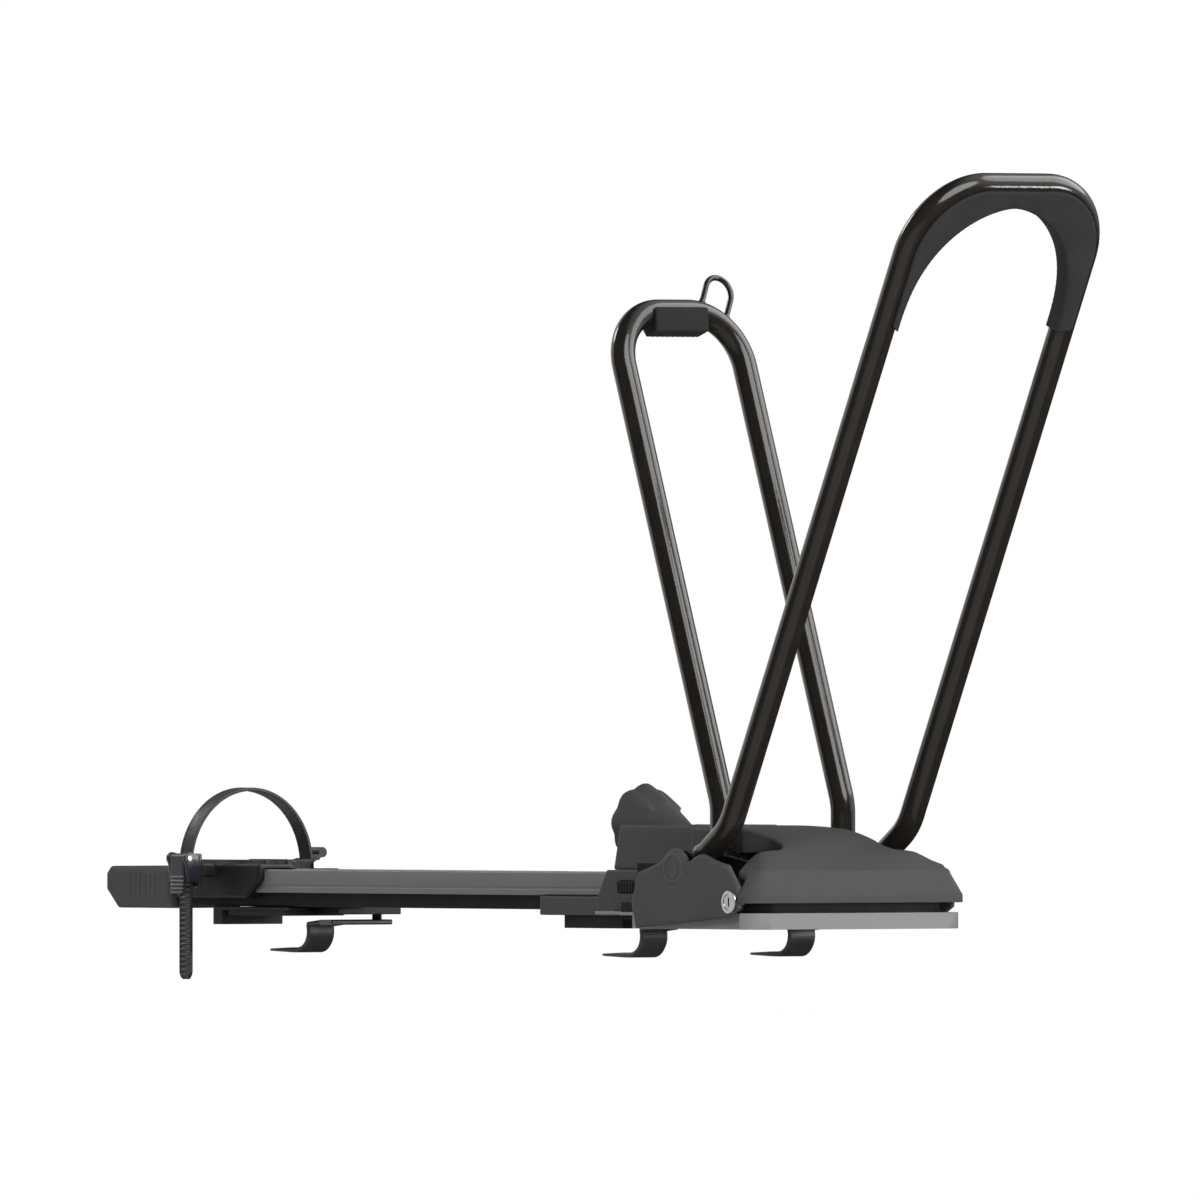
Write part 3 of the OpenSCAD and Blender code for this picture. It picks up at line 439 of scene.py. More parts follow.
# Base covers
def dome_cover():
    """Domed shell with a channel for the hoops' feet and a notch for each side cover."""
    nose_x, half_w, floor_z, crest_z = DOME_HIGH[0], DOME_HIGH[1], DOME_LOW[2], DOME_HIGH[2]
    edge_z, corner, front_lean, side_lean = floor_z + 24, 18, 6, 11
    lean_z, lean_run, corner_loss = floor_z + 6, 17, 6
    bow, fall, fall_x, fall_run = 2.5, 11, AXLE_X + 9, 50
    front_slope, side_slope = 0.72, 0.9
    wall, web, valance_z, channel_r = 3, 2.5, AXLE_Z + 12, 10
    notch_x, notch_y = COVER_HIGH[0] + 0.3, 97.3

    def solid(x, y, z):
        side = np.abs(y)
        crest = crest_z - bow * (side / CHANNEL_Y0) ** 2
        crest = crest - fall * np.clip((x - fall_x) / fall_run, 0, 2) ** 1.6
        roof = soft_min(crest, edge_z + front_slope * (nose_x - front_lean - x), 5)
        roof = soft_min(roof, edge_z + side_slope * (half_w - side_lean - side), 6)
        lean = np.clip((z - lean_z) / lean_run, 0, 1)
        plan = rounded(x - nose_x + front_lean * lean, side - half_w + side_lean * lean,
                       r=corner - corner_loss * lean)
        return soft_max(plan * 0.85, (z - roof) * 0.7, 0.9)

    def field(x, y, z):
        outer = solid(x, y, z)
        ends = np.maximum(DOME_LOW[0] - x, floor_z - z)
        ends = np.maximum(ends, np.minimum(notch_x - x, np.abs(y) - notch_y))
        channel = rounded(x - CHANNEL_X1, CHANNEL_Y0 - np.abs(y), r=channel_r)
        shell = np.maximum(outer, -outer - wall)
        lip = np.maximum(between(channel, 0, web), outer)
        lip = np.maximum(lip, np.minimum(valance_z - z, CHANNEL_X1 - x))
        return soft_max(np.maximum(np.minimum(shell, lip), ends), -channel, 1.2)

    mesh = isosurface(field, DOME_LOW - 2, DOME_HIGH + 2, 1.3)
    piece("dome_shell", *mesh, "chassis", "charcoal_plastic", ["dome_cover"])


def tower_shroud():
    """Box over the draw screw: a pocket for the knob, a bored bulkhead and a cave ahead of it."""
    low_z, top_z, half_w, rake = TOWER_LOW[2], TOWER_HIGH[2], TOWER_HIGH[1], 8
    wall, floor_t, roof_t, bore_r, bore_over = 4, 2.5, 3, 9.02, 6
    back_x, front_x, open_x = AXLE_X - 105, AXLE_X - 95, TOWER_HIGH[0] + 9
    outline = [(TOWER_LOW[0], low_z), (TOWER_LOW[0] + rake, top_z),
               (TOWER_HIGH[0], top_z), (TOWER_HIGH[0], low_z)]
    tilt = math.radians(DRAW_TILT)

    def field(x, y, z):
        side = np.abs(y)
        outer = soft_max(polygon(x, z, outline), side - half_w, 4)
        outer = np.maximum(outer, low_z - z)
        pocket = rounded(x - back_x, side - half_w + wall, low_z + floor_t - z, r=3)
        cave = rounded(between(x, front_x, open_x), side - half_w + wall,
                       between(z, low_z + floor_t, top_z - roof_t), r=2)
        screw_z = (x - AXLE_X) * math.sin(tilt) + (z - AXLE_Z) * math.cos(tilt) - SCREW_OFF
        bore = np.maximum(np.hypot(y, screw_z) - bore_r,
                          between(x, back_x - bore_over, front_x + bore_over))
        return soft_max(soft_max(np.maximum(outer, -cave), -pocket, 1.5), -bore, 0.8)

    mesh = isosurface(field, TOWER_LOW - 2, TOWER_HIGH + 2, 1.2)
    piece("tower_shell", *mesh, "chassis", "charcoal_plastic", ["tower_shroud"])


def side_cover(side):
    """A skirt with a boss round the axle and a shoulder ahead of it; side is 1 left, -1 right."""
    name = "left" if side > 0 else "right"
    inner, outer = COVER_LOW[1], COVER_HIGH[1]
    eye_r, shoulder_r, shoulder_x, shoulder_z = 15, 14, AXLE_X + 32, AXLE_Z - 4
    boss_r, boss_t, ring_r, ring_cut, ring_up = 11.5, 1.4, 8, 0.9, 1.6
    lock_low, lock_high = span("lock_housing")
    lock_x, lock_z = (lock_low[0] + lock_high[0]) / 2, (lock_low[2] + lock_high[2]) / 2
    lock_r = lock_high[0] - lock_x - 1.15
    sill = [(-47, -5), (64, 3.5), (77, 10.5)]
    brow = [(77, -14), (64, 2.4), (38, 8.6), (32, 10), (14, 4), (0, 14), (-16, 5), (-44, -3),
            (-52, -26)]
    outline = [(AXLE_X + x, z) for x, z in sill]
    outline += [(AXLE_X + x, AXLE_Z + z) for x, z in brow]

    def field(x, y, z):
        out = y * side
        from_axle = np.hypot(x - AXLE_X, z - AXLE_Z)
        plan = soft_min(polygon(x, z, outline) - 0.5, from_axle - eye_r, 5)
        plan = soft_min(plan, np.hypot(x - shoulder_x, z - shoulder_z) - shoulder_r, 5)
        skin = soft_max(np.maximum(plan, inner - out), out - outer, 3.5)
        boss = rounded(from_axle - boss_r, out - outer - boss_t, inner - out, r=1.2)
        skin = soft_min(skin, boss, 1.5)
        groove = np.hypot(from_axle - ring_r, out - outer - ring_up) - ring_cut
        skin = soft_max(skin, -groove, 0.4)
        if side < 0:
            skin = soft_max(skin, lock_r - np.hypot(x - lock_x, z - lock_z), 0.6)
        return skin

    low, high = COVER_LOW - 3, COVER_HIGH + 3
    if side < 0:
        low[1], high[1] = -high[1], -low[1]
    mesh = isosurface(field, low, high, 1.0)
    shell = "side_cover_%s_shell" % name
    piece(shell, *mesh, "chassis", "charcoal_plastic", ["side_cover_" + name])


def tray_sleeve():
    """Bracket that the tray slides in: a floor, low walls and taller cheeks at its front."""
    rear_x, front_x, low_z, top_z = SLEEVE_LOW[0], SLEEVE_HIGH[0], SLEEVE_LOW[2], SLEEVE_HIGH[2]
    step_x, floor_x, base_z, lip_z = AXLE_X - 177, -45, 6.5, TRAY_LEDGE_Z - 0.5
    inner, hip, full, rake = TRAY_LOW_HW + 0.5, SLEEVE_HIGH[1] - 2, SLEEVE_HIGH[1], 12
    cheek = [(step_x, lip_z - 1), (step_x + rake, top_z), (front_x, top_z), (front_x, lip_z - 1)]

    def field(x, y, z):
        side = np.abs(y)
        base = block(x, side, z, (rear_x, -9, low_z), (floor_x, hip, base_z), 1.2)
        wall = block(x, side, z, (rear_x, inner, low_z), (step_x + 3, hip, lip_z), 1.2)
        wide = block(x, side, z, (step_x, inner, low_z), (floor_x, full, lip_z), 1.5)
        front = block(x, side, z, (floor_x - 3, inner, base_z), (front_x, full, lip_z), 1.0)
        upper = soft_max(polygon(x, z, cheek), between(side, TRAY_HIGH[1] + 0.5, full), 1.5)
        lower = soft_min(soft_min(base, wall, 0.5), soft_min(wide, front, 0.5), 1.5)
        slot = np.maximum(button_plan(x, z, BUTTON_R + 0.3), y + TRAY_HIGH[1])
        return soft_max(soft_min(lower, upper, 1.5), -slot, 0.6)

    mesh = isosurface(field, SLEEVE_LOW - 2, SLEEVE_HIGH + 2, 1.2)
    piece("sleeve_shell", *mesh, "chassis", "charcoal_plastic", ["tray_sleeve"])


def release_button():
    middle_x = (BUTTON_LOW[0] + BUTTON_HIGH[0]) / 2
    rib_pitch, rib_h, rib_in = 3.5, 0.35, 0.4

    def field(x, y, z):
        face = BUTTON_LOW[1] + rib_in + rib_h * ripple(x - middle_x, rib_pitch)
        return rounded(button_plan(x, z, BUTTON_R), face - y, y - BUTTON_HIGH[1], r=1.0)

    mesh = isosurface(field, BUTTON_LOW - 2, BUTTON_HIGH + 2, 0.5)
    piece("release_button", *mesh, "tray_button", "black_plastic", ["tray_button"])


# Clamp
def torque_knob():
    """Lobed grip that narrows to a neck, along the draw screw's axis."""
    cone_back, cone_front, spigot = -KNOB_BACK + 3, -115, -107.3
    lobe_r, core_r, cone_r, neck_r, box_r = 8, KNOB_R - 2.2, 9, 8, KNOB_R + 2

    def field(x, y, z):
        r = np.hypot(y, z)
        turn = lobe_turn(y, z, KNOB_LOBES)
        lobe = np.hypot(r * np.cos(turn) - KNOB_R + lobe_r, r * np.sin(turn)) - lobe_r
        share = np.clip((x - cone_back) / (cone_front - cone_back), 0, 1)
        taper = (KNOB_R - cone_r) * share ** 1.15
        shape = (soft_min(r - core_r, lobe, 6) + taper) * 0.85
        grip = rounded(shape, between(x, -KNOB_BACK, cone_front), r=4)
        neck = rounded(r - neck_r, between(x, cone_front - 4, spigot), r=0.5)
        seat = np.maximum(r - KNOB_CAP_R - 0.3, x + KNOB_BACK - KNOB_SEAT)
        return soft_max(soft_min(grip, neck, 1), -seat, 0.8)

    low, high = (-KNOB_BACK - 2, -box_r, -box_r), (spigot + 2, box_r, box_r)
    verts, faces = isosurface(field, low, high, 1.0)
    piece("knob_grip", draw_frame(verts), faces, "knob", "charcoal_plastic", ["torque_knob"])


def knob_end_cap():
    """Crowned disc in the knob's end, with a ring groove."""
    proud, hollow, ring_r, ring_cut, ring_x, box_r = 1, 0.004, KNOB_CAP_R - 3.5, 0.7, 0.6, 17

    def field(x, y, z):
        r = np.hypot(y, z)
        crown = x + KNOB_BACK + proud - hollow * r ** 2
        disc = rounded(r - KNOB_CAP_R, -crown, x + KNOB_BACK - KNOB_SEAT, r=0.8)
        groove = np.hypot(r - ring_r, x + KNOB_BACK + ring_x) - ring_cut
        return soft_max(disc, -groove, 0.4)

    low, high = (-KNOB_BACK - 3, -box_r, -box_r), (-KNOB_BACK + 5, box_r, box_r)
    verts, faces = isosurface(field, low, high, 0.7)
    piece("knob_end_cap", draw_frame(verts), faces, "knob", "black_plastic", ["knob_cap"])


def threaded(radius, length, pitch, depth):
    """A rod along +Z with a rolled thread and plain rounded ends."""
    around, steps, end_round = 24, 8, 0.8
    z = np.linspace(0, length, int(length / pitch * steps) + 1)
    angle = np.arange(around) * 2 * math.pi / around
    phase = (z[:, None] / pitch - angle[None, :] / (2 * math.pi)) % 1
    from_end = np.minimum(z, length - z)[:, None]
    dip = depth * np.abs(2 * phase - 1) * np.clip(from_end / pitch, 0, 1)
    r = radius - dip - np.clip(end_round - from_end, 0, 1)
    height = np.broadcast_to(z[:, None], r.shape)
    return loft(np.stack([r * np.cos(angle), r * np.sin(angle), height], axis=2))


def draw_screw():
    start, end, radius, pitch, depth = -KNOB_BACK + 3, 64, 5, 3, 0.6
    verts, faces = threaded(radius, end - start, pitch, depth)
    verts = verts[:, [2, 1, 0]] * (1, -1, 1) + (start, 0, 0)
    piece("screw_thread", draw_frame(verts), faces, "knob", "steel", ["draw_screw"])


# Hoops
def hoop_half(h):
    """Centre line from the crown's middle to the left eye, in the hoop's own plane.

    Also the crown's height and half the length of its straight middle.
    """
    knee, r, half_w = math.radians(h["knee"]), h["corner"], h["half_w"]
    tangent = KNEE_R * math.tan(knee / 2)
    leg = h["reach"] - tangent - r
    top = leg + tangent + h["stub"] * math.cos(knee) + r
    crown, knee_z = half_w - r, top - r - leg
    points = [(0, y, top) for y in np.linspace(0, crown, 12)]
    points += [(0, crown + r * math.cos(a), top - r + r * math.sin(a))
               for a in np.linspace(math.pi / 2, 0, 40)[1:]]
    points += [(0, half_w, top - r - d) for d in np.linspace(0, leg, 60)[1:]]
    points += [(-KNEE_R * (1 - math.cos(a)), half_w, knee_z - KNEE_R * math.sin(a))
               for a in np.linspace(0, knee, 16)[1:]]
    points += [(-d * math.sin(knee), half_w, knee_z - tangent - d * math.cos(knee))
               for d in np.linspace(tangent, h["stub"] - EYE_R, 12)[1:]]
    return np.array(points), top, crown


def hoop_frame(h, points):
    """From the hoop's own plane to the frame's axes."""
    offset = h["stub"] * math.sin(math.radians(h["knee"]))
    return about_axle(np.asarray(points, float) + (offset, 0, 0), h["lean"])


def hoop_tube(h, name):
    """Bent tube with a weld bead at each eye."""
    bead_h, bead_at, bead_w, around = 1.3, 2.5, 2.2, 40
    path = both_sides(hoop_half(h)[0])
    run = run_along(path)
    weld = bead_h * np.exp(-((np.minimum(run, run[-1] - run) - bead_at) / bead_w) ** 2)
    mesh = sweep(hoop_frame(h, path), TUBE_R + weld, around, (0, 1, 0))
    piece(name + "_pipe", *mesh, name, "tube_paint", [name + "_tube"])


def arch_section(depth):
    """Round the arch's moulding: a flank, the inner face, the other flank and the tube's seat."""
    half_w, edge_w, lip = 12.5, 6.5, 0.2
    flank = [(half_w - 0.8, -lip), (half_w, -lip + 0.8), (half_w - 0.2, 2.5),
             (edge_w + 2.2, depth - 2.4), (edge_w + 1.6, depth - 1.2),
             (edge_w + 0.7, depth - 0.3), (edge_w - 0.6, depth)]
    seat = [(-TUBE_R - 0.1, -lip), (-TUBE_R * 0.72, TUBE_R * 0.7), (0, TUBE_R),
            (TUBE_R * 0.72, TUBE_R * 0.7), (TUBE_R + 0.1, -lip)]
    return flank + mirrored(flank) + seat


def front_arch():
    """Moulded rubber that lines the crown of the front hoop, ribbed on its inner face."""
    h, crown_drop, length, rings_n = FRONT_HOOP, 16.5, 120, 260
    rib_pitch, rib_h, open_hw = 5, 0.08, h["half_w"] - TUBE_R - 0.5
    half, top, _ = hoop_half(h)
    outer = both_sides(half[half[:, 2] > top - length - 1])
    run = run_along(outer)
    even = np.linspace(0, run[-1], rings_n)
    outer = np.stack([np.interp(even, run, outer[:, a]) for a in range(3)], axis=1)
    t = np.abs(even / run[-1] * 2 - 1) ** 2
    inner_y = np.sign(run[-1] / 2 - even) * open_hw * (1 - (1 - t) ** 2.6) ** 0.6
    inner = np.stack([0 * t, inner_y, top - crown_drop - (length - crown_drop) * t], axis=1)
    rings = []
    for o, i, s in zip(outer, inner, even):
        depth = np.linalg.norm(i - o)
        along = (i - o) / depth
        section = arch_section(depth - rib_h * (1 - ripple(s, rib_pitch)))
        rings.append([o + along * d + (x, 0, 0) for x, d in section])
    verts, faces = loft(rings)
    piece("arch_moulding", hoop_frame(h, verts), faces, "front_hoop", "rubber",
          ["front_hoop_arch"])


def rear_pad():
    """Rubber block under the crown of the rear hoop, narrower towards its ribbed face."""
    h, half_y, drop, half_w, waist_z, waist_in = REAR_HOOP, 26, 18.5, 12.5, 3, 0.33
    rib_pitch, rib_h, box_x, box_y = 5, 0.15, 15, 34
    _, top, _ = hoop_half(h)

    def field(x, y, z):
        face = top - drop + rib_h * (1 - ripple(y, rib_pitch))
        waist = half_w - waist_in * np.clip(top - waist_z - z, 0, drop)
        body = rounded(np.abs(x) - waist, np.abs(y) - half_y, face - z, z - top, r=2)
        return soft_max(body, TUBE_R + 0.05 - np.hypot(x, z - top), 0.5)

    low, high = (-box_x, -box_y, top - drop - 3), (box_x, box_y, top + 3)
    verts, faces = isosurface(field, low, high, 0.8)
    piece("rear_pad_moulding", hoop_frame(h, verts), faces, "rear_hoop", "rubber",
          ["rear_hoop_pad"])


def lock_loop():
    """Wire loop welded to the left shoulder of the rear hoop, leaning outwards."""
    h, wire_r, half, height, lean = REAR_HOOP, 2.25, 12, 28, math.radians(30)
    bead_h, bead_w, around, r = 1.2, 2.0, 20, h["corner"]
    _, top, crown = hoop_half(h)
    foot = math.sqrt((r + TUBE_R - 0.5) ** 2 - half ** 2)
    bend = r + TUBE_R + height - half
    flat = [(-half, d) for d in np.linspace(foot, bend, 12)]
    flat += [(-half * math.cos(a), bend + half * math.sin(a))
             for a in np.linspace(0, math.pi, 24)[1:]]
    flat += [(half, d) for d in np.linspace(bend, foot, 12)[1:]]
    path = np.array([(0, crown + a * math.cos(lean) + d * math.sin(lean),
                      top - r - a * math.sin(lean) + d * math.cos(lean)) for a, d in flat])
    run = run_along(path)
    weld = bead_h * np.exp(-(np.minimum(run, run[-1] - run) / bead_w) ** 2)
    mesh = sweep(hoop_frame(h, path), wire_r + weld, around, (1, 0, 0))
    piece("lock_wire", *mesh, "rear_hoop", "tube_paint", ["lock_loop"])


# Tray
def tray_rail():
    """Extruded channel with rolled lips and a ribbed floor, over a box slotted underneath whose
    black is partly its own finish and partly painted shade under the ledge.
    """
    half, top, ledge, wall = TRAY_HIGH[1], TRAY_HIGH[2], TRAY_LEDGE_Z, TRAY_WALL
    bed, box, low_z = ledge + wall, TRAY_LOW_HW, TRAY_LOW[2]
    side = [(half - 1, ledge), (half, ledge + 1), (half, ledge + 4), (half - 0.3, ledge + 4.6),
            (half - 0.3, ledge + 5.8), (half, ledge + 6.4), (half, top - 1), (half - 1, top),
            (half - 3.6, top), (half - 4.2, top - 0.8), (half - 4.2, top - 2.2),
            (half - wall, top - 3), (half - wall, bed + 2), (half - wall - 2, bed)]
    for rib in (22, 11):
        side += [(rib + 1.2, bed), (rib + 0.6, bed + 0.9), (rib - 0.6, bed + 0.9),
                 (rib - 1.2, bed)]
    keel = [(SLOT_HW, low_z), (box - 1, low_z), (box, low_z + 1), (box, ledge + 1),
            (box - wall, ledge + 1), (box - wall, low_z + wall), (SLOT_HW, low_z + wall)]
    stations = np.linspace(TRAY_LOW[0], TRAY_HIGH[0], 40)

    def along(section):
        return loft([[(x, y, z) for y, z in section] for x in stations])

    mesh = along(side + mirrored(side))
    crisp(piece("tray_extrusion", *mesh, "tray", "tray_paint", ["tray_rail"]), 25)
    # The box's black finish is partly its own colour and partly painted shade under the channel's
    # ledge
    mesh = merged(along(keel), along(mirrored(keel)))
    crisp(piece("tray_keel", *mesh, "tray", "chassis_black", ["tray_rail"]), 25)


def tray_end_cap():
    """Hollow tail cap with a cut-off lower corner and grip grooves on its sides."""
    low, high = CAP_LOW, CAP_HIGH
    chamfer, bevel, end_t, trough_t = 14, 5, 21, 10
    grip_x0, grip_x1, grip_pitch, grip_r, grip_out = low[0] + 30, low[0] + 66, 6, 1.1, 0.6
    grip_z0, grip_z1 = low[2] + 7, high[2] - 6
    outline = [(low[0], low[2] + chamfer), (low[0] + chamfer, low[2]), (high[0], low[2]),
               (high[0], high[2]), (low[0] + bevel, high[2]), (low[0], high[2] - bevel)]

    def field(x, y, z):
        side = np.abs(y)
        outer = soft_max(polygon(x, z, outline) - 0.3, side - high[1], 5)
        tray = np.maximum(tray_section(y, z, 0.1), low[0] + end_t - x)
        trough = rounded(low[0] + trough_t - x, side - TRAY_HIGH[1] + TRAY_WALL,
                         TRAY_LEDGE_Z + TRAY_WALL - z, r=3)
        across = (x - grip_x0) % grip_pitch - grip_pitch / 2
        groove = np.hypot(across, side - high[1] - grip_out) - grip_r
        patch = np.maximum(between(x, grip_x0, grip_x1), between(z, grip_z0, grip_z1))
        cap = soft_max(np.maximum(outer, -tray), -trough, 1.0)
        return soft_max(cap, -np.maximum(groove, patch), 0.4)

    mesh = isosurface(field, low - 2, high + 2, 1.1)
    piece("tail_cap", *mesh, "tray", "charcoal_plastic", ["tray_end_cap"])


def wheel_cradle():
    """Moulding over the tray: ribbed deck, bay for the buckle, knuckle for the strap's pin."""
    low, high = CRADLE_LOW, CRADLE_HIGH
    half, deck, front, inner_y = TRAY_HIGH[1] + 6, TRAY_HIGH[2] + 4.4, high[0], 34
    rail_y0, rail_y1, rail_h, deck_hw, deck_cut = 28, 32, 3, 26, 0.4
    step_x, step_y, step_run, step_h = STRAP_X + 14, -10, 5, 3.8
    knuckle_r, pin_r, rib_pitch, rib_h = 6, 3.02, 8, 0.6
    bay_low = (STRAP_X - BAY_HW - CHEEK_T, -STRAP_R + 6.5, TRAY_HIGH[2] - 6)
    bay_high = (STRAP_X + BAY_HW + CHEEK_T, -inner_y, deck)
    wedge = [(front + 9, deck - 5), (front + 9, 0), (front - 31, 0)]

    def field(x, y, z):
        side = np.abs(y)
        step = step_h * np.clip((x - step_x) / step_run, 0, 1)
        step = step * np.clip((y - step_y) / step_run, 0, 1)
        body = rounded(between(x, low[0], front), side - half, between(z, low[2], deck - step),
                       r=2.5)
        rails = rounded(between(x, low[0] + 3, front - 3), between(side, rail_y0, rail_y1),
                        between(z, deck - 2, deck + rail_h - 1.8 * step), r=1.4)
        shell = soft_max(soft_min(body, rails, 1.5), -tray_section(y, z, 0.3), 0.5)
        near = block(x, y, z, bay_low, bay_high, 1.5)
        post = np.abs(np.abs(x - STRAP_X) - BAY_HW - CHEEK_T / 2) - CHEEK_T / 2
        from_pin = np.hypot(y - STRAP_R, z - STRAP_Z)
        arm = np.maximum(between(y, inner_y, STRAP_R), between(z, TRAY_HIGH[2] - 3, STRAP_Z + 5))
        far = rounded(post, soft_min(from_pin - knuckle_r, arm, 2), r=0.8)
        solid = soft_min(soft_min(shell, near, 1.5), far, 1.5)
        solid = soft_max(solid, pin_r - from_pin, 0.3)
        ribs = rib_h * (1 - ripple(x - low[0], rib_pitch))
        furrow = np.maximum(side - deck_hw, deck - ribs - z) + deck_cut
        return soft_max(soft_max(solid, -polygon(x, z, wedge), 2), -furrow, 0.4)

    mesh = isosurface(field, low - 2, high + 2, 1.1)
    piece("cradle_moulding", *mesh, "tray", "black_plastic", ["wheel_cradle"])


def strap_section(width, tooth):
    """Across the strap: a flat back, a rim along each edge, and a toothed bed between them."""
    half_t, rim = STRAP_T / 2, min(width * 0.7, 5.2)
    edge = half_t - 0.3
    side = [(width - 0.3, -half_t), (width, -half_t + 0.5), (width, half_t - 0.6),
            (width - 0.3, edge), (rim + 0.3, edge), (rim, half_t - 0.7 + tooth)]
    return side + mirrored(side)


def strap_band():
    """Arch over the tyre and a tail through the buckle, toothed but for its first part."""
    tip_z, half_w, plain, pitch, tooth_h, step = STRAP_LOW[2], STRAP_W / 2, 60, 4, 0.55, 0.5
    angles = np.linspace(math.radians(4), math.pi, 90)
    path = [(STRAP_R * math.cos(a), STRAP_Z + STRAP_R * math.sin(a), math.cos(a), math.sin(a))
            for a in angles]
    path += [(-STRAP_R, z, -1, 0) for z in np.arange(STRAP_Z - step, tip_z, -step)]
    rings = []
    for (y, z, out_y, out_z), run in zip(path, run_along([p[:2] for p in path])):
        in_tip = max(half_w - (z - tip_z), 0) if y < 0 and z < STRAP_Z else 0
        width = math.sqrt(max(half_w ** 2 - in_tip ** 2, 0.3))
        tooth = tooth_h * (1 - (run / pitch % 1)) if width > 4 and run > plain else 0
        section = strap_section(width, tooth)
        rings.append([(STRAP_X + x, y + out_y * d, z + out_z * d) for x, d in section])
    return loft(rings)


def strap_eye():
    """Ring round the strap's far pin."""
    half_w, bore_r, eye_r, soft = STRAP_W / 2, 3.1, 6, 0.4
    turn = np.linspace(0, 2 * math.pi, 37)[:-1]
    profile = [(-half_w, bore_r), (-half_w, eye_r - soft), (-half_w + soft, eye_r),
               (half_w - soft, eye_r), (half_w, eye_r - soft), (half_w, bore_r),
               (-half_w, bore_r)]
    rings = [[(STRAP_X + x, STRAP_R + r * math.cos(a), STRAP_Z + r * math.sin(a)) for a in turn]
             for x, r in profile]
    return loft(rings, closed_ends=False)


def strap_tab():
    """Slanted tab beyond the eye, with a bead along its end."""
    half_w, half_t, start, end, bead_at, bead_r = STRAP_W / 2, STRAP_T / 2, 4, 18.9, 15, 4
    slant = math.sqrt(0.5)
    rings = []
    for s in np.linspace(start, end, 40):
        bead = math.sqrt(max(bead_r ** 2 - (s - bead_at) ** 2, 0))
        t = max(bead, half_t if s < bead_at else 0.3)
        y, z = STRAP_R + s * slant, STRAP_Z + s * slant
        corners = [(-half_w, -t), (half_w, -t), (half_w, t), (-half_w, t)]
        rings.append([(STRAP_X + x, y - d * slant, z + d * slant) for x, d in corners])
    return loft(rings)


def wheel_strap():
    mesh = merged(strap_band(), strap_eye(), strap_tab())
    crisp(piece("ladder_strap", *mesh, "tray", "strap_plastic", ["wheel_strap"]), 30)


def buckle_frame():
    """Back plate with two cheeks that hold the lever's pin."""
    low, high = BUCKLE_LOW, BUCKLE_HIGH
    back_y, ear_r, pin_r = -STRAP_R + STRAP_T / 2 + 2, 4.4, 2.02
    outline = [(PIVOT_Y - 3, PIVOT_Z), (PIVOT_Y - 1, low[2] + 4), (high[1], low[2] + 4),
               (high[1], PIVOT_Z + 3.5), (PIVOT_Y, PIVOT_Z + 4)]

    def field(x, y, z):
        across = np.abs(x - STRAP_X)
        from_pin = np.hypot(y - PIVOT_Y, z - PIVOT_Z)
        back = block(across, y, z, (-9, back_y, low[2]),
                     (BAY_HW + CHEEK_T, high[1], PIVOT_Z + 3), 1.0)
        ear = soft_min(from_pin - ear_r, polygon(y, z, outline), 2)
        cheek = rounded(ear, between(across, BAY_HW, BAY_HW + CHEEK_T), r=0.8)
        return soft_max(soft_min(back, cheek, 1), pin_r - from_pin, 0.3)

    mesh = isosurface(field, low - 2, high + 2, 0.6)
    piece("buckle_frame", *mesh, "tray", "buckle_plastic", ["buckle_body"])


def cam_lever():
    """Hub round the pin and a tapering, ribbed tab that bends away from the strap."""
    half, thick, hub_r, pin_r = BAY_HW - 0.3, 3, 3.6, 2.05
    rib_pitch, rib_h, rib_from, lift_from, taper_from, taper = 3, 0.45, 13, 12, 14, 0.05

    def field(x, y, z):
        across = np.abs(x - STRAP_X)
        from_pin = np.hypot(y - PIVOT_Y, z - PIVOT_Z)
        drop = PIVOT_Z - z
        hub = rounded(from_pin - hub_r, across - half, r=0.5)
        ribs = rib_h * ripple(drop, rib_pitch) * (drop > rib_from)
        lift = 0.012 * np.maximum(drop - lift_from, 0) ** 1.5
        tab = rounded(across - half + taper * np.maximum(drop - taper_from, 0),
                      between(y + lift, PIVOT_Y - thick - ribs, PIVOT_Y),
                      between(z, LEVER_LOW[2], PIVOT_Z), r=1.0)
        return soft_max(soft_min(hub, tab, 1.2), pin_r - from_pin, 0.2)

    mesh = isosurface(field, LEVER_LOW - 3, LEVER_HIGH + 2, 0.5)
    piece("cam_lever", *mesh, "buckle_lever", "buckle_plastic", ["buckle_lever"])


# Feet
def claw_band(x0, low_y, high_y):
    """Band bent round the nose of the crossbar at x0, thinner towards its tip."""
    tip_x, nose_x, end_x, gap, turn = -4, 28, 57, 0.5, 1.95
    thin_x, thin_share, half_t = (-5, 22), (0.45, 1), CLAW_T / 2
    bend_r, tab_z = BAR_H / 2 + gap + half_t, CLAW_TAB_Z - half_t
    path = [(x, -BAR_H - gap - half_t) for x in np.linspace(tip_x, nose_x, 10)]
    path += [(nose_x + bend_r * math.sin(a), -BAR_H / 2 - bend_r * math.cos(a))
             for a in np.linspace(0, turn, 26)[1:]]
    path += [(end_x, tab_z)]
    path = np.array([point for point in path if point[1] < tab_z + 0.01])
    tangent = np.gradient(path, axis=0)
    tangent /= np.linalg.norm(tangent, axis=1)[:, None]
    section = chamfered(low_y, high_y, -half_t, half_t, 1.2)
    rings = []
    for (x, z), (along_x, along_z) in zip(path, tangent):
        thin = np.interp(x, thin_x, thin_share) if z < -BAR_H / 2 else 1
        rings.append([(x0 + x - along_z * t * thin, y, z + along_x * t * thin)
                      for y, t in section])
    return loft(rings)


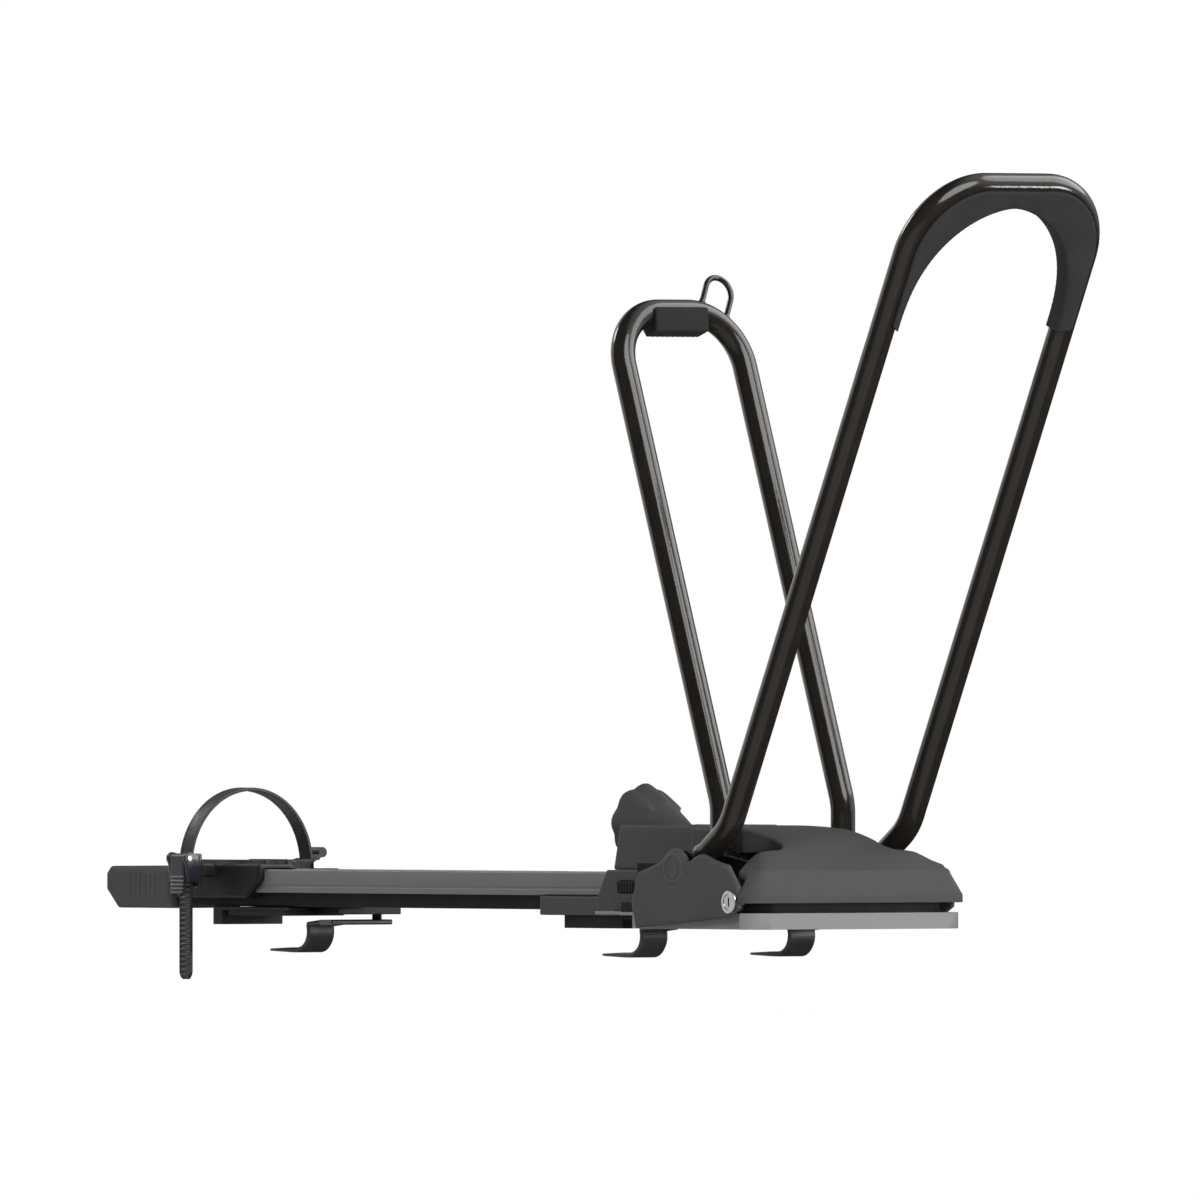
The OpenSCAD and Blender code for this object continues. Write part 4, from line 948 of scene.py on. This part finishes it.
def claw(node, stud_y):
    """Claw with a welded threaded stud; the rear one has a bar across to its stud."""
    low, high = span(node)
    rear = node == "rear_claw"
    x0, low_y, high_y = (-BAR_SPREAD, -13, 13) if rear else (0, low[1], high[1])
    thread, depth, sunk = 1.25, 0.5, 1
    parts = [claw_band(x0, low_y, high_y)]
    if rear:
        section = chamfered(40.5, 58, CLAW_TAB_Z - CLAW_T, CLAW_TAB_Z, 1)
        stations = np.linspace(0, high[1], 12)
        parts.append(loft([[(x0 + x, y, z) for x, z in section] for y in stations]))
    stud, stud_faces = threaded(STUD_R, high[2] - CLAW_TAB_Z + sunk, thread, depth)
    parts.append((stud + (x0 + STUD_X, stud_y, CLAW_TAB_Z - sunk), stud_faces))
    crisp(piece(node + "_band", *merged(*parts), node, "claw_paint", [node]), 40)


def thumb_nut(node):
    """Scalloped nut with a collar, on a claw's stud."""
    low, high = span(node)
    x0, y0 = (low[0] + high[0]) / 2, (low[1] + high[1]) / 2
    radius = max(high[0] - low[0], high[1] - low[1]) / 2
    scallops, scallop_r, scallop_out, stem_in, bore_r = 6, 4, 2.5, 4, STUD_R + 0.05

    def field(x, y, z):
        r = np.hypot(x - x0, y - y0)
        turn = lobe_turn(x - x0, y - y0, scallops)
        bite = np.hypot(r * np.cos(turn) - radius - scallop_out, r * np.sin(turn)) - scallop_r
        plan = soft_max(r - radius, -bite, 2)
        head = rounded(plan, between(z, low[2] + 3, high[2] - 2), r=1.5)
        stem = rounded(r - radius + stem_in, between(z, low[2], high[2]), r=0.6)
        return soft_max(soft_min(head, stem, 1.5), bore_r - r, 0.4)

    mesh = isosurface(field, low - 2, high + 2, 0.8)
    piece(node + "_moulding", *mesh, node, "black_plastic", [node])


# CAD nodes whose shape is right keep it, with edges softened by a width in millimetres
def soften(node, slot, width):
    obj = frame["nodes"][node]
    dress(obj, slot)
    weld = obj.modifiers.new("weld", "WELD")
    weld.merge_threshold = 0.00002
    bevel = obj.modifiers.new("bevel", "BEVEL")
    bevel.width = width * MM
    bevel.segments = 2
    bevel.limit_method = "ANGLE"
    bevel.angle_limit = math.radians(40)
    bevel.harden_normals = False


KEPT = {
    "base_plate": ("base_paint", 0.6),
    "chassis_frame": ("chassis_black", 0.5),
    "saddle_block": ("chassis_black", 1.0),
    "carriage_yoke": ("chassis_black", 0.6),
    "front_pad": ("rubber", 0.8),
    "rear_foot_pad": ("rubber", 0.8),
    "rear_hoop_pins": ("steel", 0.4),
    "front_hoop_pins": ("steel", 0.4),
    "rear_pin_clips": ("steel", 0.2),
    "front_pin_clips": ("steel", 0.2),
    "thrust_bush": ("steel", 0.3),
    "base_bolts": ("steel", 0.3),
    "side_cover_screws": ("steel", 0.3),
    "screw_collar": ("steel", 0.3),
    "draw_nut": ("nut_brass", 0.3),
    "front_hoop_eyes": ("tube_paint", 0.8),
    "rear_hoop_eyes": ("tube_paint", 0.8),
    "front_hoop_bushes": ("nylon", 0.2),
    "rear_hoop_bushes": ("nylon", 0.2),
    "tray_stop": ("black_plastic", 1.0),
    "strap_anchor_pin": ("steel", 0.4),
    "buckle_pin": ("steel", 0.3),
    "rear_foot_bracket": ("black_plastic", 0.8),
    "rear_foot_slider": ("black_plastic", 0.5),
    "lock_housing": ("lock_chrome", 0.4),
    "lock_core": ("lock_chrome", 0.3),
}

dome_cover()
tower_shroud()
for hand in (-1, 1):
    side_cover(hand)
tray_sleeve()
release_button()
torque_knob()
knob_end_cap()
draw_screw()
hoop_tube(FRONT_HOOP, "front_hoop")
hoop_tube(REAR_HOOP, "rear_hoop")
front_arch()
rear_pad()
lock_loop()
tray_rail()
tray_end_cap()
wheel_cradle()
wheel_strap()
buckle_frame()
cam_lever()
for claw_node, claw_y in (("front_claw_right", -73), ("front_claw_left", 73), ("rear_claw", 50)):
    claw(claw_node, claw_y)
for nut_node in ("front_claw_nut_right", "front_claw_nut_left", "rear_claw_nut"):
    thumb_nut(nut_node)
for kept_node, (kept_slot, kept_edge) in KEPT.items():
    soften(kept_node, kept_slot, kept_edge)


# Studio, in metres
VIEW_AZIMUTH = 51
CAMERA_DISTANCE = 29.5
FRAME_WIDTH = 0.92
SENSOR = 36
TARGET = Vector((-0.045, -0.055, 0.245))
FLOOR_Z, FLOOR_HALF, FLOOR_GLOW = -0.07, 1.6, 0.6
WORLD_LIGHT = 0.28
STUDIO_DARK = 0.04
# Direction of a card, cosines at its soft edge's outside and inside, brightness
STUDIO_CARDS = [((-1.0, -0.02, 0), 0.72, 0.86, 1.0),
                ((0.3, 0.75, 0.6), 0.55, 0.85, 1.0),
                ((0.48, -0.63, -0.61), 0.72, 0.86, 0.45)]


def camera():
    angle = math.radians(VIEW_AZIMUTH)
    data = bpy.data.cameras.new("camera")
    data.sensor_width = SENSOR
    data.lens = SENSOR * CAMERA_DISTANCE / FRAME_WIDTH
    data.clip_end = 200
    obj = bpy.data.objects.new("camera", data)
    bpy.context.collection.objects.link(obj)
    obj.location = TARGET + CAMERA_DISTANCE * Vector((math.sin(angle), -math.cos(angle), 0))
    obj.rotation_euler = (TARGET - obj.location).to_track_quat("-Z", "Y").to_euler()
    bpy.context.scene.camera = obj


def largest(tree, sockets):
    """The highest of several values."""
    total = sockets[0]
    for socket in sockets[1:]:
        node = add(tree, "ShaderNodeMath", operation="MAXIMUM")
        tree.links.new(total, node.inputs[0])
        tree.links.new(socket, node.inputs[1])
        total = node.outputs[0]
    return total


def seen_rays(tree, names):
    """1 for rays of the named kinds."""
    path = tree.nodes.new("ShaderNodeLightPath")
    return largest(tree, [path.outputs[name] for name in names])


def towards(tree, direction, low, high, strength):
    """A soft white card on the studio's wall, around a direction."""
    dot = add(tree, "ShaderNodeVectorMath", operation="DOT_PRODUCT")
    coords = tree.nodes.new("ShaderNodeTexCoord").outputs["Generated"]
    tree.links.new(coords, dot.inputs[0])
    dot.inputs[1].default_value = Vector(direction).normalized()
    return remap(tree, dot.outputs["Value"], low, high, STUDIO_DARK, strength)


def world():
    """White backdrop, with cards on dark walls that only gloss shows."""
    scene_world = bpy.data.worlds.new("world")
    bpy.context.scene.world = scene_world
    scene_world.use_nodes = True
    tree = scene_world.node_tree
    cards = largest(tree, [towards(tree, *card) for card in STUDIO_CARDS])
    shader = tree.nodes["Background"]
    shader.inputs["Color"].default_value = (1, 1, 1, 1)
    gloss = seen_rays(tree, ["Is Glossy Ray", "Is Transmission Ray"])
    strength = mix(tree, "FLOAT", gloss, WORLD_LIGHT, cards)
    strength = mix(tree, "FLOAT", seen_rays(tree, ["Is Camera Ray"]), strength, 1.0)
    tree.links.new(strength, shader.inputs["Strength"])


def floor():
    """White ground that keeps the shadow, with a glow for the rays that see it."""
    mesh = bpy.data.meshes.new("floor")
    plan = [(-1, -1), (1, -1), (1, 1), (-1, 1)]
    corners = [(x * FLOOR_HALF, y * FLOOR_HALF, FLOOR_Z) for x, y in plan]
    mesh.from_pydata(corners, [], [(0, 1, 2, 3)])
    obj = bpy.data.objects.new("floor", mesh)
    bpy.context.collection.objects.link(obj)
    material = bpy.data.materials.new("floor")
    tree, shader = nodes_of(material)
    shader.inputs["Base Color"].default_value = (0.9, 0.9, 0.9, 1)
    shader.inputs["Roughness"].default_value = 0.9
    shader.inputs["Emission Color"].default_value = (1, 1, 1, 1)
    seen = seen_rays(tree, ["Is Camera Ray", "Is Glossy Ray", "Is Transmission Ray"])
    glow = remap(tree, seen, 0.0, 1.0, 0.0, FLOOR_GLOW)
    tree.links.new(glow, shader.inputs["Emission Strength"])
    obj.data.materials.append(material)
    obj.visible_glossy = False


def lamp(name, place, aim, power, size, diffuse=True, gloss=True):
    data = bpy.data.lights.new(name, "AREA")
    data.energy = power
    data.size = size
    data.shape = "DISK"
    obj = bpy.data.objects.new(name, data)
    bpy.context.collection.objects.link(obj)
    obj.visible_diffuse = diffuse
    obj.visible_glossy = gloss
    obj.location = place
    obj.rotation_euler = (Vector(aim) - Vector(place)).to_track_quat("-Z", "Y").to_euler()


camera()
world()
floor()
lamp("front", (3.0, -0.3, 0.15), (0, 0, 0.05), power=92, size=1.4, gloss=False)
lamp("key", (-0.2, -2.6, 1.4), (0, 0, 0.2), power=28, size=1.2, gloss=False)
lamp("rim", (-2.2, -0.8, 1.8), (0, 0, 0.3), power=14, size=0.8)
lamp("back", (-2.4, 1.9, 0.9), (-0.1, 0, 0.1), power=60, size=1.6, gloss=False)
lamp("softbox", (2.4, -0.1, 2.0), (0, 0, 0.3), power=66, size=2.2, diffuse=False)
lamp("sky", (0.9, 2.2, 2.1), (0, 0, 0.4), power=60, size=2.6, diffuse=False)
lamp("streak", (2.3, 1.9, 0.15), (0, 0, 0.4), power=16, size=0.6, diffuse=False)
bpy.context.scene.view_settings.view_transform = "Standard"
